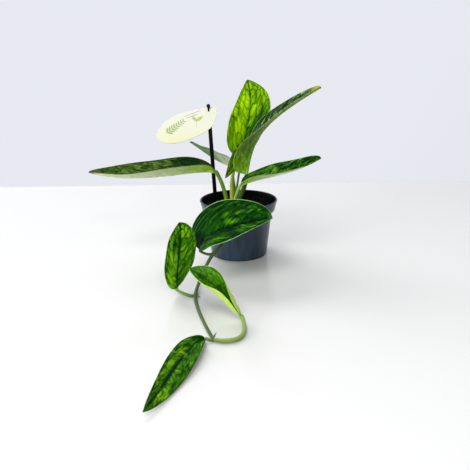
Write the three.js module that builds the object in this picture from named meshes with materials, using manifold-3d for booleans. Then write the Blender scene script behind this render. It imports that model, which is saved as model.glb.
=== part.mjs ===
// A potted monstera: a nursery pot of soil, six leaves on stalks of their own, a vine that
// trails over the rim with four more leaves, and a plant label on a stake.
// Millimetres, +Z up, with the origin at the centre of the pot's flat base and the front at -Y.

import * as THREE from 'three';
import { mergeVertices } from 'three/addons/utils/BufferGeometryUtils.js';
import Module from 'manifold-3d';

const wasm = await Module();
wasm.setup();

// Pot: a 12 cm thin-walled nursery pot with a collar band under its rim
const POT_RADIUS = 60;
const POT_HEIGHT = 87.6;
const POT_BASE_RADIUS = 44;
const POT_WALL = 1.3;
const POT_FOOT_BEVEL = 1.2;
const COLLAR_HEIGHT = 19;
const COLLAR_FOOT_RADIUS = 55.8;
const COLLAR_STEP = 4;
const LIP_INSET = 1;
const LIP_HEIGHT = 2.6;
const LIP_EDGE = 0.7;
const POT_SIDES = 40;
const DRAIN_RADIUS = 3.5;
const DRAIN_RING = 30;
const DRAIN_COUNT = 6;

// Soil
const SOIL_LEVEL = 76;
const SOIL_BUMP = 1.1;
const SOIL_COARSE_WAVE = [0.19, 0.23];
const SOIL_FINE_WAVE = [0.41, -0.33];
const SOIL_RINGS = [53.4, 45, 36, 27, 18, 9];
const ROOT_DEPTH = 20;

// Clearance that neighbouring pieces keep
const GAP = 0.3;

// Leaf blades
const BLADE_THICKNESS = 0.8;
const RIB_DEPTH = 1.2;
const RIB_TAPER = 0.8;
const STATIONS = 24;
const STATION_EVENNESS = 0.35;
const COLUMNS = [-1, -0.7, -0.38, -0.1, 0, 0.1, 0.38, 0.7, 1];
const LATERAL_RIDGES = 6;
const RIDGE_HEIGHT = 0.45;
const RIDGE_SWEEP = 0.22;
const MARGIN_WAVE = 0.8;
const MARGIN_WAVES = 2;
const MARGIN_PHASE = 0.2;
const BASE_HALF_WIDTH = 1.6;
const TIP_HALF_WIDTH = 0.7;
const CUPPED = [[-12, -10], [-6, -6]];

// Stalks
const STALK_SIDES = 8;
const STALK_STEP = 6;

// Label and its stake
const STAKE_FOOT = new THREE.Vector3(-35, 16, SOIL_LEVEL - ROOT_DEPTH);
const STAKE_HEAD = new THREE.Vector3(-43.4, 14, 228);
const STAKE_WIDTH = 6;
const STAKE_THICKNESS = 2;
const NECK_WIDTH = 2.8;
const NECK_LENGTH = 18;
const SHOULDER_LENGTH = 5;
const STAKE_POINT_LENGTH = 6;
const STAKE_POINT_TAPER = 0.6;
const KNOB_RADIUS = 2.9;
const LABEL_THICKNESS = 0.8;
const LABEL_SIDES = 48;
const LABEL_LEAN = 40;
const LABEL_TURN = 26.5;
const LABEL_DROP = 6.2;
const SLOT_WIDTH = 3.6;
const SLOT_LENGTH = 5.8;

// Each leaf: its midrib is one Bezier arc from the blade's base to its tip, and face holds the
// directions its upper side looks in along that arc. Width is the whole blade's, swell and taper
// shape the outline at the base and at the tip, skew makes one half the wider one, and fold and
// curl, in degrees, tilt and bend the two halves: [near base, near tip], each [one half, the other].
const LEAVES = {
  left: {
    rib: [[-37, -6, 132], [-65, -6, 139.5], [-149, -28.5, 116.5], [-220, -30, 140]],
    face: [[0.11, 0.03, 0.99], [0.39, -0.07, 0.91]],
    width: 73, swell: 0.56, taper: 0.67, skew: -0.01,
    fold: [[41, 38], [28, 29]],
    curl: CUPPED,
  },
  upright: {
    rib: [[3, 41, 144], [17, 45.5, 189], [27, 56, 227.5], [17, 89, 261.5]],
    face: [[-0.8, -0.57, 0.04], [-0.16, -0.59, 0.77]],
    width: 82.5, swell: 0.43, taper: 0.82, skew: 0.14,
    fold: [[34, 26], [-4, 4]],
    curl: CUPPED,
  },
  arching: {
    rib: [[13, -16, 130], [21, -19, 183.5], [31, -10, 203.5], [118, -25.5, 255.5]],
    face: [[-0.63, 0.77, 0.04], [-0.75, -0.53, 0.39], [-0.44, -0.13, 0.89]],
    width: 46.5, swell: 0.19, taper: 0.33, skew: 0.21,
    fold: [[43, 39], [28, 29]],
    curl: CUPPED,
  },
  drooping: {
    rib: [[4, 3, 163], [2, -6, 170], [-3, -9, 145], [-20, -7, 122]],
    face: [[0, 0.35, 0.95], [-0.1, -1, 0.2]],
    width: 19, swell: 0.5, taper: 0.75, skew: 0,
    fold: [[14, 14], [8, 8]],
    curl: CUPPED,
  },
  back: {
    rib: [[-11, 36, 134], [-27, 36, 136.5], [-47, 67.5, 145.5], [-78.5, 91, 163]],
    face: [[0.6, 0.32, 0.72], [0.34, 0.24, 0.87]],
    width: 42, swell: 0.26, taper: 0.58, skew: 0.01,
    fold: [[32, 24], [21, 8]],
    curl: CUPPED,
  },
  right: {
    rib: [[4, -40, 118.5], [17.5, -45, 131.5], [79.5, -38.5, 131], [117.5, -50.5, 160]],
    face: [[-0.74, 0.08, 0.66], [-0.69, -0.13, 0.71]],
    width: 48, swell: 0.55, taper: 0.55, skew: -0.04,
    fold: [[35, 34], [24, 20]],
    curl: CUPPED,
  },
  front: {
    rib: [[-55, -112, 45], [-57, -112, 74.5], [5.5, -100, 78], [45, -110.5, 89.5]],
    face: [[-0.86, -0.35, 0.35], [-0.28, -0.2, 0.94]],
    width: 93.5, swell: 0.59, taper: 0.65, skew: -0.17,
    fold: [[12, 10], [22, 18]],
    curl: CUPPED,
  },
  standing: {
    rib: [[-84, -158, 9], [-83.5, -165, 44.5], [-73.5, -154.5, 74], [-76.5, -160.5, 100]],
    face: [[0.74, -0.65, -0.13], [0.53, -0.84, -0.06]],
    width: 53, swell: 0.46, taper: 0.62, skew: 0.06,
    fold: [[13, -2], [16, 10]],
    curl: CUPPED,
  },
  young: {
    rib: [[-1, -240, 9], [-21, -223, 33], [-38, -216, 43], [-60, -228, 64]],
    face: [[-0.13, -0.85, 0.51], [0.62, -0.74, 0.25]],
    width: 52, swell: 0.5, taper: 0.75, skew: 0,
    fold: [[35, 35], [10, 10]],
    curl: [[108, 108], [50, -20]],
    hold: 2,
  },
  lowest: {
    rib: [[-41, -286, 4], [-62, -286, -2], [-66, -363, 12], [-88.5, -417, 7]],
    face: [[-0.31, -0.4, 0.87], [0.72, -0.21, 0.69]],
    width: 31, swell: 0.5, taper: 0.69, skew: -0.13,
    fold: [[48, 26], [8, 8]],
    curl: CUPPED,
  },
};

// The vine: it leaves the soil, lies over the rim and runs down to and along the surface.
const VINE = {
  path: [
    [10, -36, 56], [6, -37, 80], [1, -44, 91], [-5, -60, 91.2], [-9, -75, 83], [-15, -90, 66],
    [-25, -99, 48], [-37, -104, 36], [-46, -114, 24], [-55, -135, 9], [-59, -171, 3.6],
    [-52.5, -212, 2.6], [-42.5, -251, 2.6], [-31.5, -286.5, 2.9],
  ],
  radii: [3, 2.8, 2.7, 2.5, 2.4, 2.2, 2, 2],
  swellings: [[-37, -104, 36], [-59, -171, 3.6], [-32, -284.5, 2.9]],
};
const SWELLING_GROWTH = 0.4;
const SWELLING_REACH = 4;
const ROOTLET_TIP_RADIUS = 0.45;

// Short aerial roots and the bud at the vine's end: start, end and thickness at the start
const ROOTLETS = [
  { from: [-36.5, -103, 36], to: [-34, -106, 31], radius: 0.9 },
  { from: [-59, -171, 3.6], to: [-52, -176, 3.2], radius: 0.9 },
  { from: [-32.5, -283, 2.6], to: [-28.6, -281, 9], radius: 1.1 },
];

// Leaf stalks: where each starts, its way up to the blade, and its radii from foot to blade.
// run is the length of the straight end that points into the midrib.
const STALKS = {
  left: {
    path: [[-16, -6, 56], [-17.5, -6, 78], [-20, -6, 95.5], [-26, -6, 116]],
    radii: [3.3, 3.2, 3.1, 3, 2.7],
    run: 4,
  },
  upright: {
    path: [[-9, 9, 56], [-9.5, 10, 76], [-10, 13, 93], [-10, 18, 108], [-7, 26, 124]],
    radii: [3, 3.4, 3.2, 2.2, 2],
    run: 4,
  },
  arching: {
    path: [[-3, -6, 56], [-1, -6, 78], [4, -8, 96], [8.5, -11, 108]],
    radii: [3.8, 4, 4, 3.6, 3],
    run: 4,
  },
  drooping: {
    path: [[-8, 2, 56], [-7, 2, 80], [-4, 2, 97], [0, 3, 119], [3, 6, 140]],
    radii: [1.7, 1.7, 1.6, 1.5, 1.3],
    run: 4,
  },
  back: {
    path: [[-3, 30, 56], [-4, 31, 78], [-6, 33, 100], [-8, 35, 118]],
    radii: [2, 2, 1.8, 1.6],
    run: 4,
  },
  right: {
    path: [[-17, -24, 56], [-10.5, -28, 82], [-6.5, -31, 93]],
    radii: [3, 2.8, 2.6, 2.2, 2],
    run: 4,
  },
  front: {
    path: [[-37, -104, 36], [-45, -108, 37]],
    radii: [1.8, 1.8, 1.6],
    run: 2,
  },
  standing: {
    path: [[-59, -171, 3.6], [-67, -170, 3]],
    radii: [2, 1.9, 1.7],
    run: 4,
  },
  young: {
    path: [[-32.2, -284.5, 2.9], [-22, -289, 3.3], [-9, -287.5, 3.4], [-0.5, -279, 3.4], [3, -263, 3.6]],
    radii: [2.1, 2.6, 2.6, 2.4, 2.1],
    run: 4,
  },
  lowest: {
    path: [[-32.2, -284.5, 2.8], [-36, -286.5, 3]],
    radii: [1.7, 1.7, 1.6],
    run: 1.5,
  },
};
const STALKS_ON_VINE = ['front', 'standing', 'young', 'lowest'];

// Colours
const GREEN_LEAF = new THREE.MeshStandardMaterial({ color: 0x2f6b1c, roughness: 0.38, metalness: 0 });
const YOUNG_LEAF = new THREE.MeshStandardMaterial({ color: 0x6f9f2c, roughness: 0.34, metalness: 0 });
const STALK_GREEN = new THREE.MeshStandardMaterial({ color: 0x7f9a3a, roughness: 0.5, metalness: 0 });
const VINE_GREEN = new THREE.MeshStandardMaterial({ color: 0x66735a, roughness: 0.6, metalness: 0 });
const POT_PLASTIC = new THREE.MeshStandardMaterial({ color: 0x2b313b, roughness: 0.35, metalness: 0 });
const SOIL_BROWN = new THREE.MeshStandardMaterial({ color: 0x1c1713, roughness: 0.95, metalness: 0 });
const STAKE_BLACK = new THREE.MeshStandardMaterial({ color: 0x121214, roughness: 0.4, metalness: 0 });
const LABEL_CREAM = new THREE.MeshStandardMaterial({ color: 0xf1f0dc, roughness: 0.45, metalness: 0 });

const mix = (from, to, t) => from + (to - from) * t;
const vector = ([x, y, z]) => new THREE.Vector3(x, y, z);

// Solids

function geometryFrom(positions, triangles) {
  const geometry = new THREE.BufferGeometry();
  geometry.setAttribute('position', new THREE.Float32BufferAttribute(positions, 3));
  geometry.setIndex(triangles);
  return geometry;
}

function toSolid(geometry) {
  const bare = geometry.clone();
  bare.deleteAttribute('normal');
  bare.deleteAttribute('uv');
  const merged = mergeVertices(bare, 1e-4);
  const vertProperties = new Float32Array(merged.attributes.position.array);
  const triVerts = new Uint32Array(merged.index.array);
  return new wasm.Manifold(new wasm.Mesh({ numProp: 3, vertProperties, triVerts }));
}

function toGeometry(solid) {
  const mesh = solid.getMesh();
  return geometryFrom(Array.from(mesh.vertProperties), Array.from(mesh.triVerts));
}

// A solid through rings of points that follow one another, closed by a fan at both ends.
function loft(rings) {
  const sides = rings[0].length;
  const positions = rings.flat().flatMap((p) => [p.x, p.y, p.z]);
  const triangles = [];
  for (let r = 0; r < rings.length - 1; r++) {
    for (let k = 0; k < sides; k++) {
      const a = r * sides + k;
      const b = r * sides + (k + 1) % sides;
      triangles.push(a, b, b + sides, a, b + sides, a + sides);
    }
  }
  const last = (rings.length - 1) * sides;
  for (let k = 1; k < sides - 1; k++) {
    triangles.push(0, k + 1, k);
    triangles.push(last, last + k, last + k + 1);
  }
  return geometryFrom(positions, triangles);
}

// A stalk of round section along a smooth path. grow widens it, and lengthens its foot.
function stalkGeometry(path, radiusAt, grow = 0) {
  const points = path.map((p) => (p.isVector3 ? p.clone() : vector(p)));
  if (grow > 0) {
    const back = points[0].clone().sub(points[1]).setLength(2 * grow);
    points[0].add(back);
  }
  const curve = new THREE.CatmullRomCurve3(points, false, 'catmullrom', 0.5);
  const steps = Math.max(3, Math.round(curve.getLength() / STALK_STEP));
  const frames = curve.computeFrenetFrames(steps, false);
  const rings = [];
  for (let i = 0; i <= steps; i++) {
    const centre = curve.getPointAt(i / steps);
    const radius = radiusAt(i / steps, centre) + grow;
    const ring = [];
    for (let k = 0; k < STALK_SIDES; k++) {
      const angle = (2 * Math.PI * k) / STALK_SIDES;
      ring.push(centre.clone()
        .addScaledVector(frames.normals[i], radius * Math.cos(angle))
        .addScaledVector(frames.binormals[i], radius * Math.sin(angle)));
    }
    rings.push(ring);
  }
  return loft(rings);
}

function taperedRadius(radii) {
  return (t) => {
    const place = t * (radii.length - 1);
    const below = Math.min(Math.floor(place), radii.length - 2);
    return mix(radii[below], radii[below + 1], place - below);
  };
}

// Leaf blades

// Half the blade's breadth at a place u along the midrib, from 0 at the base to 1 at the tip.
function halfWidth(leaf, u) {
  const peak = leaf.swell / (leaf.swell + leaf.taper);
  const scale = peak ** leaf.swell * (1 - peak) ** leaf.taper;
  const outline = (Math.max(u, 1e-9) ** leaf.swell * (1 - u) ** leaf.taper) / scale;
  return Math.max((outline * leaf.width) / 2, mix(BASE_HALF_WIDTH, TIP_HALF_WIDTH, u));
}

function faceDirection(leaf, u) {
  const [first, ...rest] = leaf.face.map((f) => vector(f).normalize());
  if (rest.length === 1) return first.multiplyScalar(1 - u).addScaledVector(rest[0], u);
  return first.multiplyScalar((1 - u) ** 2)
    .addScaledVector(rest[0], 2 * u * (1 - u))
    .addScaledVector(rest[1], u * u);
}

// The upper side's points and directions across the blade at u. A half blade is an arc that
// leaves the midrib at the fold's angle and turns by the curl up to its margin.
function crossSection(leaf, u, rib) {
  const middle = rib.getPoint(u);
  const along = rib.getTangent(u);
  const across = along.clone().cross(faceDirection(leaf, u)).normalize();
  const up = across.clone().cross(along);
  const half = halfWidth(leaf, u);
  const fullness = Math.min(1, (2 * half) / leaf.width);
  const open = u ** (leaf.hold ?? 1);
  return COLUMNS.map((v) => {
    const side = v < 0 ? 0 : 1;
    const sign = v < 0 ? -1 : 1;
    const reach = Math.abs(v);
    const fold = THREE.MathUtils.degToRad(mix(leaf.fold[0][side], leaf.fold[1][side], open));
    const curl = THREE.MathUtils.degToRad(mix(leaf.curl[0][side], leaf.curl[1][side], open)) || 1e-6;
    const slope = fold + curl * reach;
    const breadth = half * (1 + sign * leaf.skew);
    const outward = ((Math.sin(slope) - Math.sin(fold)) / curl) * breadth;
    const rise = ((Math.cos(fold) - Math.cos(slope)) / curl) * breadth;
    const wave = MARGIN_WAVE * reach ** 2
      * Math.sin(2 * Math.PI * (MARGIN_WAVES * u + MARGIN_PHASE + 0.5 * side));
    const ridge = RIDGE_HEIGHT * Math.sin(2 * Math.PI * LATERAL_RIDGES * (u - RIDGE_SWEEP * reach))
      * Math.min(1, 3 * reach) * (1 - reach ** 4);
    const point = middle.clone()
      .addScaledVector(across, sign * outward)
      .addScaledVector(up, rise + (wave + ridge) * fullness);
    const lean = v === 0 ? 0 : slope;
    const facing = up.clone().multiplyScalar(Math.cos(lean))
      .addScaledVector(across, -sign * Math.sin(lean));
    const depth = BLADE_THICKNESS + (v === 0 ? RIB_DEPTH * Math.sqrt(1 - RIB_TAPER * u) : 0);
    return { top: point, under: point.clone().addScaledVector(facing, -depth) };
  });
}

// A thin closed blade, its upper and under side split into triangles alike.
function bladeGeometry(leaf) {
  const rib = new THREE.CubicBezierCurve3(...leaf.rib.map(vector));
  const columns = COLUMNS.length;
  const positions = [];
  for (let i = 0; i < STATIONS; i++) {
    const s = i / (STATIONS - 1);
    const u = mix(0.5 - 0.5 * Math.cos(Math.PI * s), s, STATION_EVENNESS);
    const section = crossSection(leaf, u, rib);
    for (const { top } of section) positions.push(top.x, top.y, top.z);
    for (const { under } of section) positions.push(under.x, under.y, under.z);
  }
  const at = (station, column, under) => station * 2 * columns + column + (under ? columns : 0);
  const triangles = [];
  const quad = (a, b, c, d) => triangles.push(a, b, c, a, c, d);
  for (let i = 0; i < STATIONS - 1; i++) {
    for (let j = 0; j < columns - 1; j++) {
      const [a, b, c, d] = [at(i, j), at(i, j + 1), at(i + 1, j + 1), at(i + 1, j)];
      quad(a, b, c, d);
      triangles.push(a + columns, c + columns, b + columns, a + columns, d + columns, c + columns);
    }
    const last = columns - 1;
    quad(at(i, 0), at(i + 1, 0), at(i + 1, 0, true), at(i, 0, true));
    quad(at(i, last), at(i, last, true), at(i + 1, last, true), at(i + 1, last));
  }
  for (let j = 0; j < columns - 1; j++) {
    const end = STATIONS - 1;
    quad(at(0, j), at(0, j, true), at(0, j + 1, true), at(0, j + 1));
    quad(at(end, j), at(end, j + 1), at(end, j + 1, true), at(end, j, true));
  }
  return geometryFrom(positions, triangles);
}

// Stalks and vine

// A stalk's whole way, ending a hair before the blade and in line with its midrib.
function stalkPath(name) {
  const [base, next] = LEAVES[name].rib.map(vector);
  const into = next.sub(base).normalize();
  const end = [
    base.clone().addScaledVector(into, -STALKS[name].run),
    base.clone().addScaledVector(into, -GAP),
  ];
  return [...STALKS[name].path.map(vector), ...end];
}

function leafStalk(name, grow = 0) {
  return stalkGeometry(stalkPath(name), taperedRadius(STALKS[name].radii), grow);
}

function rootlet({ from, to, radius }, grow) {
  return toSolid(stalkGeometry([from, to], taperedRadius([radius, ROOTLET_TIP_RADIUS]), grow));
}

// The vine with its rootlets, as one solid.
function vineSolid(grow = 0) {
  const base = taperedRadius(VINE.radii);
  const swellings = VINE.swellings.map(vector);
  const radiusAt = (t, centre) => {
    const swelling = swellings.reduce((sum, s) =>
      sum + Math.exp(-((s.distanceTo(centre) / SWELLING_REACH) ** 2)), 0);
    return base(t) + SWELLING_GROWTH * swelling;
  };
  const tube = toSolid(stalkGeometry(VINE.path, radiusAt, grow));
  return ROOTLETS.reduce((solid, root) => solid.add(rootlet(root, grow)), tube);
}

// A stalk that grows from the vine fits against it, with the gap all round.
function stalkOnVine(name) {
  return toGeometry(toSolid(leafStalk(name)).subtract(vineSolid(GAP)));
}

// Pot and soil

function potProfile() {
  const wallTop = POT_HEIGHT - COLLAR_HEIGHT;
  const underCollar = COLLAR_FOOT_RADIUS - COLLAR_STEP;
  const lip = POT_RADIUS - LIP_INSET;
  const outside = [
    [0, 0],
    [POT_BASE_RADIUS - POT_FOOT_BEVEL, 0],
    [POT_BASE_RADIUS, POT_FOOT_BEVEL],
    [underCollar, wallTop - 1],
    [underCollar + 0.6, wallTop],
    [COLLAR_FOOT_RADIUS, wallTop + 2],
    [COLLAR_FOOT_RADIUS + 1, wallTop + 3.4],
    [lip, POT_HEIGHT - LIP_HEIGHT],
    [POT_RADIUS, POT_HEIGHT - LIP_HEIGHT + 0.6],
    [POT_RADIUS, POT_HEIGHT - LIP_EDGE],
    [POT_RADIUS - LIP_EDGE, POT_HEIGHT],
  ];
  const inside = [
    [lip - POT_WALL - 0.1, POT_HEIGHT - 0.4],
    [lip - POT_WALL - 0.2, POT_HEIGHT - 2],
    [COLLAR_FOOT_RADIUS + 1 - POT_WALL, wallTop + 4.2],
    [COLLAR_FOOT_RADIUS - POT_WALL, wallTop + 3.2],
    [underCollar + 0.2 - POT_WALL, wallTop + 1],
    [underCollar - 0.2 - POT_WALL, wallTop - 1],
    [POT_BASE_RADIUS - POT_WALL, POT_WALL + 1.1],
    [POT_BASE_RADIUS - POT_WALL - 1.1, POT_WALL],
    [0, POT_WALL],
  ];
  return { outside, inside };
}

function potGeometry() {
  const { outside, inside } = potProfile();
  const profile = [...outside, ...inside].map(([r, z]) => new THREE.Vector2(r, z));
  let pot = toSolid(new THREE.LatheGeometry(profile, POT_SIDES).rotateX(Math.PI / 2));
  const drain = new THREE.CylinderGeometry(DRAIN_RADIUS, DRAIN_RADIUS, 4 * POT_WALL, 12)
    .rotateX(Math.PI / 2);
  for (let k = 0; k < DRAIN_COUNT; k++) {
    const angle = (2 * Math.PI * (k + 0.5)) / DRAIN_COUNT;
    const place = [DRAIN_RING * Math.cos(angle), DRAIN_RING * Math.sin(angle), 0];
    pot = pot.subtract(toSolid(drain.clone().translate(...place)));
  }
  return toGeometry(pot);
}

function soilHeight(x, y) {
  const [coarseX, coarseY] = SOIL_COARSE_WAVE;
  const [fineX, fineY] = SOIL_FINE_WAVE;
  const coarse = Math.sin(coarseX * x + 0.7) * Math.cos(coarseY * y - 0.4);
  const fine = Math.sin(fineX * x + fineY * y + 1.9);
  const heap = 1 - Math.hypot(x, y) / POT_RADIUS;
  return SOIL_LEVEL + SOIL_BUMP * (0.6 * coarse + 0.4 * fine) + heap;
}

// The soil fills the pot, with a plain hole for each stalk, the vine and the stake.
function soilGeometry() {
  const wall = potProfile().inside.slice(3).map(([r, z]) => [Math.max(0, r - GAP), z + GAP]);
  const profile = [...wall.reverse(), ...SOIL_RINGS.map((r) => [r, SOIL_LEVEL]), [0, SOIL_LEVEL]]
    .map(([r, z]) => new THREE.Vector2(r, z));
  const body = new THREE.LatheGeometry(profile, POT_SIDES).rotateX(Math.PI / 2);
  const place = body.attributes.position;
  for (let i = 0; i < place.count; i++) {
    if (place.getZ(i) === SOIL_LEVEL) place.setZ(i, soilHeight(place.getX(i), place.getY(i)));
  }
  let soil = toSolid(body);
  const rooted = Object.keys(LEAVES).filter((name) => !STALKS_ON_VINE.includes(name));
  for (const name of rooted) soil = soil.subtract(toSolid(leafStalk(name, GAP)));
  soil = soil.subtract(vineSolid(GAP));
  soil = soil.subtract(toSolid(placeOnStake(stakeBar(GAP))));
  return toGeometry(soil);
}

// Label and stake

// The stake stands on the local Z axis, with its foot at the local origin.
const STAKE_LENGTH = STAKE_HEAD.distanceTo(STAKE_FOOT);
const STAKE_TURN = new THREE.Quaternion().setFromUnitVectors(
  new THREE.Vector3(0, 0, 1),
  STAKE_HEAD.clone().sub(STAKE_FOOT).normalize(),
);

function placeOnStake(geometry) {
  return geometry.applyQuaternion(STAKE_TURN).translate(STAKE_FOOT.x, STAKE_FOOT.y, STAKE_FOOT.z);
}

function stakeBar(grow = 0) {
  const half = STAKE_WIDTH / 2 + grow;
  const neck = NECK_WIDTH / 2 + grow;
  const shoulder = STAKE_LENGTH - NECK_LENGTH;
  const outline = new THREE.Shape([
    [half * STAKE_POINT_TAPER, -2 * grow],
    [half, STAKE_POINT_LENGTH],
    [half, shoulder - SHOULDER_LENGTH],
    [neck, shoulder],
    [neck, STAKE_LENGTH],
    [-neck, STAKE_LENGTH],
    [-neck, shoulder],
    [-half, shoulder - SHOULDER_LENGTH],
    [-half, STAKE_POINT_LENGTH],
    [-half * STAKE_POINT_TAPER, -2 * grow],
  ].map(([x, y]) => new THREE.Vector2(x, y)));
  const depth = STAKE_THICKNESS + 2 * grow;
  return new THREE.ExtrudeGeometry(outline, { depth, bevelEnabled: false })
    .translate(0, 0, -depth / 2)
    .rotateX(Math.PI / 2);
}

function stakeGeometry() {
  const knob = new THREE.SphereGeometry(KNOB_RADIUS, 12, 8).translate(0, 0, STAKE_LENGTH);
  return toGeometry(toSolid(placeOnStake(stakeBar())).add(toSolid(placeOnStake(knob))));
}

// A slot with round ends that runs along the stake.
function slotPath(turn) {
  const radius = SLOT_WIDTH / 2;
  const end = new THREE.Vector2(Math.sin(turn), Math.cos(turn))
    .multiplyScalar((SLOT_LENGTH - SLOT_WIDTH) / 2);
  const slot = new THREE.Path();
  slot.absarc(end.x, end.y, radius, -turn, Math.PI - turn, false);
  slot.absarc(-end.x, -end.y, radius, Math.PI - turn, 2 * Math.PI - turn, false);
  return slot;
}

// The label hangs on the stake's neck by the slot near its narrow end and leans back.
function labelMesh() {
  const outline = new THREE.SplineCurve([
    [9.5, 2], [-17, 9.5], [-35.5, 13], [-54.5, 14], [-73, 8.5], [-87.5, -3], [-85.5, -17.5],
    [-67, -29.5], [-36.5, -33], [-10, -29], [3.5, -17], [10, -6.5], [9.5, 2],
  ].map(([x, y]) => new THREE.Vector2(x, y)));
  const shape = new THREE.Shape(outline.getPoints(LABEL_SIDES).slice(0, -1));
  const turn = THREE.MathUtils.degToRad(LABEL_TURN);
  shape.holes.push(slotPath(turn));
  const geometry = new THREE.ExtrudeGeometry(shape, {
    depth: LABEL_THICKNESS, bevelEnabled: false, curveSegments: 5,
  }).translate(0, 0, -LABEL_THICKNESS / 2);
  const mesh = named('label', geometry, LABEL_CREAM);
  const hang = STAKE_HEAD.clone().sub(STAKE_FOOT).setLength(STAKE_LENGTH - LABEL_DROP);
  mesh.position.copy(STAKE_FOOT).add(hang);
  mesh.rotation.set(THREE.MathUtils.degToRad(90 - LABEL_LEAN), 0, turn);
  return mesh;
}

// Assembly

function named(name, geometry, material) {
  const mesh = new THREE.Mesh(geometry, material);
  mesh.name = name;
  return mesh;
}

const plant = new THREE.Group();
plant.add(named('pot', potGeometry(), POT_PLASTIC));
plant.add(named('soil', soilGeometry(), SOIL_BROWN));
plant.add(named('stake', stakeGeometry(), STAKE_BLACK));
plant.add(labelMesh());
plant.add(named('vine', toGeometry(vineSolid()), VINE_GREEN));
for (const [name, leaf] of Object.entries(LEAVES)) {
  const onVine = STALKS_ON_VINE.includes(name);
  const stalk = onVine ? stalkOnVine(name) : leafStalk(name);
  plant.add(named(`petiole_${name}`, stalk, STALK_GREEN));
  plant.add(named(`blade_${name}`, bladeGeometry(leaf), name === 'young' ? YOUNG_LEAF : GREEN_LEAF));
}

export default plant;
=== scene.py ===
# %% [markdown]
# # A potted monstera with a trailing vine
#
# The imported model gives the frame: where every leaf, stalk, pot and label stands, in metres,
# with the pot's flat base at the origin and the front at -Y. This script dresses that frame.
# Each CAD piece is replaced by a finer one of the same form, because a leaf's quilting, a
# stalk's round skin and the crumbs of the soil are finer than the solids that physics needs.

import math

import bpy
import bmesh
import numpy as np
from mathutils import Matrix, Vector


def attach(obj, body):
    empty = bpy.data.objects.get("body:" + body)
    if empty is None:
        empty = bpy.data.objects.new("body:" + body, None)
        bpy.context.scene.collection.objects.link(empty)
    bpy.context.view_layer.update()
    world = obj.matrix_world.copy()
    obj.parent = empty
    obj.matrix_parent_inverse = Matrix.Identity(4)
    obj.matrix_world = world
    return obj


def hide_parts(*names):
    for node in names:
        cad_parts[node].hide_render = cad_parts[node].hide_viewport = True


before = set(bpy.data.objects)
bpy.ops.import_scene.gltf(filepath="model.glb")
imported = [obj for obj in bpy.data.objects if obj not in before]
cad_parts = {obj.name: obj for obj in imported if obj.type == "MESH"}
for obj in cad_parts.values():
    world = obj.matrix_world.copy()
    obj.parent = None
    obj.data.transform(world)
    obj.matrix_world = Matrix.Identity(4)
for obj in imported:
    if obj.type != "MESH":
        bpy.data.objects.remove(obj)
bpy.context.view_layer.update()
MM = 0.001
ROOT = "root"

# %% [markdown]
# ## The camera
#
# A photograph's camera can be found again from a thing of known shape in it. Here the pot's rim,
# collar and base gave it: a lens of 41.75 mm on a 36 mm sensor, 0.82 m in front of the pot and
# 0.31 m up, looking down by 18.66 degrees and rolled by less than one.

# %% Set up the camera
CAMERA_PLACE = Vector((-6.2, -820.5, 305.4)) * MM
CAMERA_LENS = 41.75
LOOK_DOWN = math.radians(18.66)
CAMERA_ROLL = math.radians(-0.81)

camera_data = bpy.data.cameras.new("camera")
camera_data.lens = CAMERA_LENS
camera_data.sensor_width = 36
camera = bpy.data.objects.new("camera", camera_data)
turn = Matrix.Rotation(math.pi / 2 - LOOK_DOWN, 4, "X") @ Matrix.Rotation(CAMERA_ROLL, 4, "Z")
camera.matrix_world = Matrix.Translation(CAMERA_PLACE) @ turn
bpy.context.scene.collection.objects.link(camera)
bpy.context.scene.camera = camera
bpy.context.scene.view_settings.view_transform = "Standard"
print("camera at", tuple(round(c, 3) for c in CAMERA_PLACE))

# %% [markdown]
# ## Light and floor
#
# The plant stands on a pale glossy table in a white room. The light comes in from windows behind
# it and on its left, so a leaf that stands against them glows. The world's colour therefore
# depends on direction: bright towards the windows and the wall behind, dim behind the camera. Two
# wide lamps stand for the windows and the room, and a low one on the left for the light that the
# white room sends under the leaves. None of them shows a mirror image, which would veil the
# greens. Only a small lamp above the camera does, for glints on the waxy skin.

# %% Light the room
WINDOW_WAY = (-0.35, 0.90, 0.26)
ROOM_BRIGHT = (0.80, 0.82, 0.87)
ROOM_DIM = (0.16, 0.165, 0.18)
WINDOW = {"place": (-1.2, 1.3, 1.8), "size": 1.3, "power": 40, "mirrored": False}
FRONT = {"place": (-0.6, -1.6, 2.1), "size": 1.1, "power": 34, "mirrored": False}
LOW = {"place": (-1.5, -1.3, 0.35), "size": 0.7, "power": 22, "mirrored": False}
GLINT = {"place": (0.25, -1.45, 1.0), "size": 0.25, "power": 5, "mirrored": True}
LAMP_AIM = Vector((0, -0.1, 0.1))


def add_lamp(name, place, size, power, mirrored):
    """A square lamp that looks at the plant. A mirrored one also shows in what is glossy."""
    data = bpy.data.lights.new(name, "AREA")
    data.energy = power
    data.size = size
    lamp = bpy.data.objects.new(name, data)
    lamp.visible_glossy = mirrored
    lamp.location = place
    lamp.rotation_euler = (LAMP_AIM - Vector(place)).to_track_quat("-Z", "Y").to_euler()
    bpy.context.scene.collection.objects.link(lamp)


add_lamp("window", **WINDOW)
add_lamp("front_light", **FRONT)
add_lamp("low_light", **LOW)
add_lamp("glint_light", **GLINT)

# %% [markdown]
# ## Small helpers for nodes
#
# Geometry Nodes and materials are both graphs. A few helpers keep them short to read: one wires a
# node's inputs, one adds a node, and the others do sums, ramps, blends, noise and bumps.


# %% Node helpers
def wire(tree, made, inputs):
    """Gives each input a plain value, or another node's output to follow."""
    for key, value in inputs.items():
        if isinstance(value, bpy.types.NodeSocket):
            tree.links.new(value, made.inputs[key])
        else:
            made.inputs[key].default_value = value


def node(tree, kind, inputs=None, **settings):
    """Adds a node with these inputs and settings."""
    made = tree.nodes.new(kind)
    for key, value in settings.items():
        setattr(made, key, value)
    wire(tree, made, inputs or {})
    return made


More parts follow.
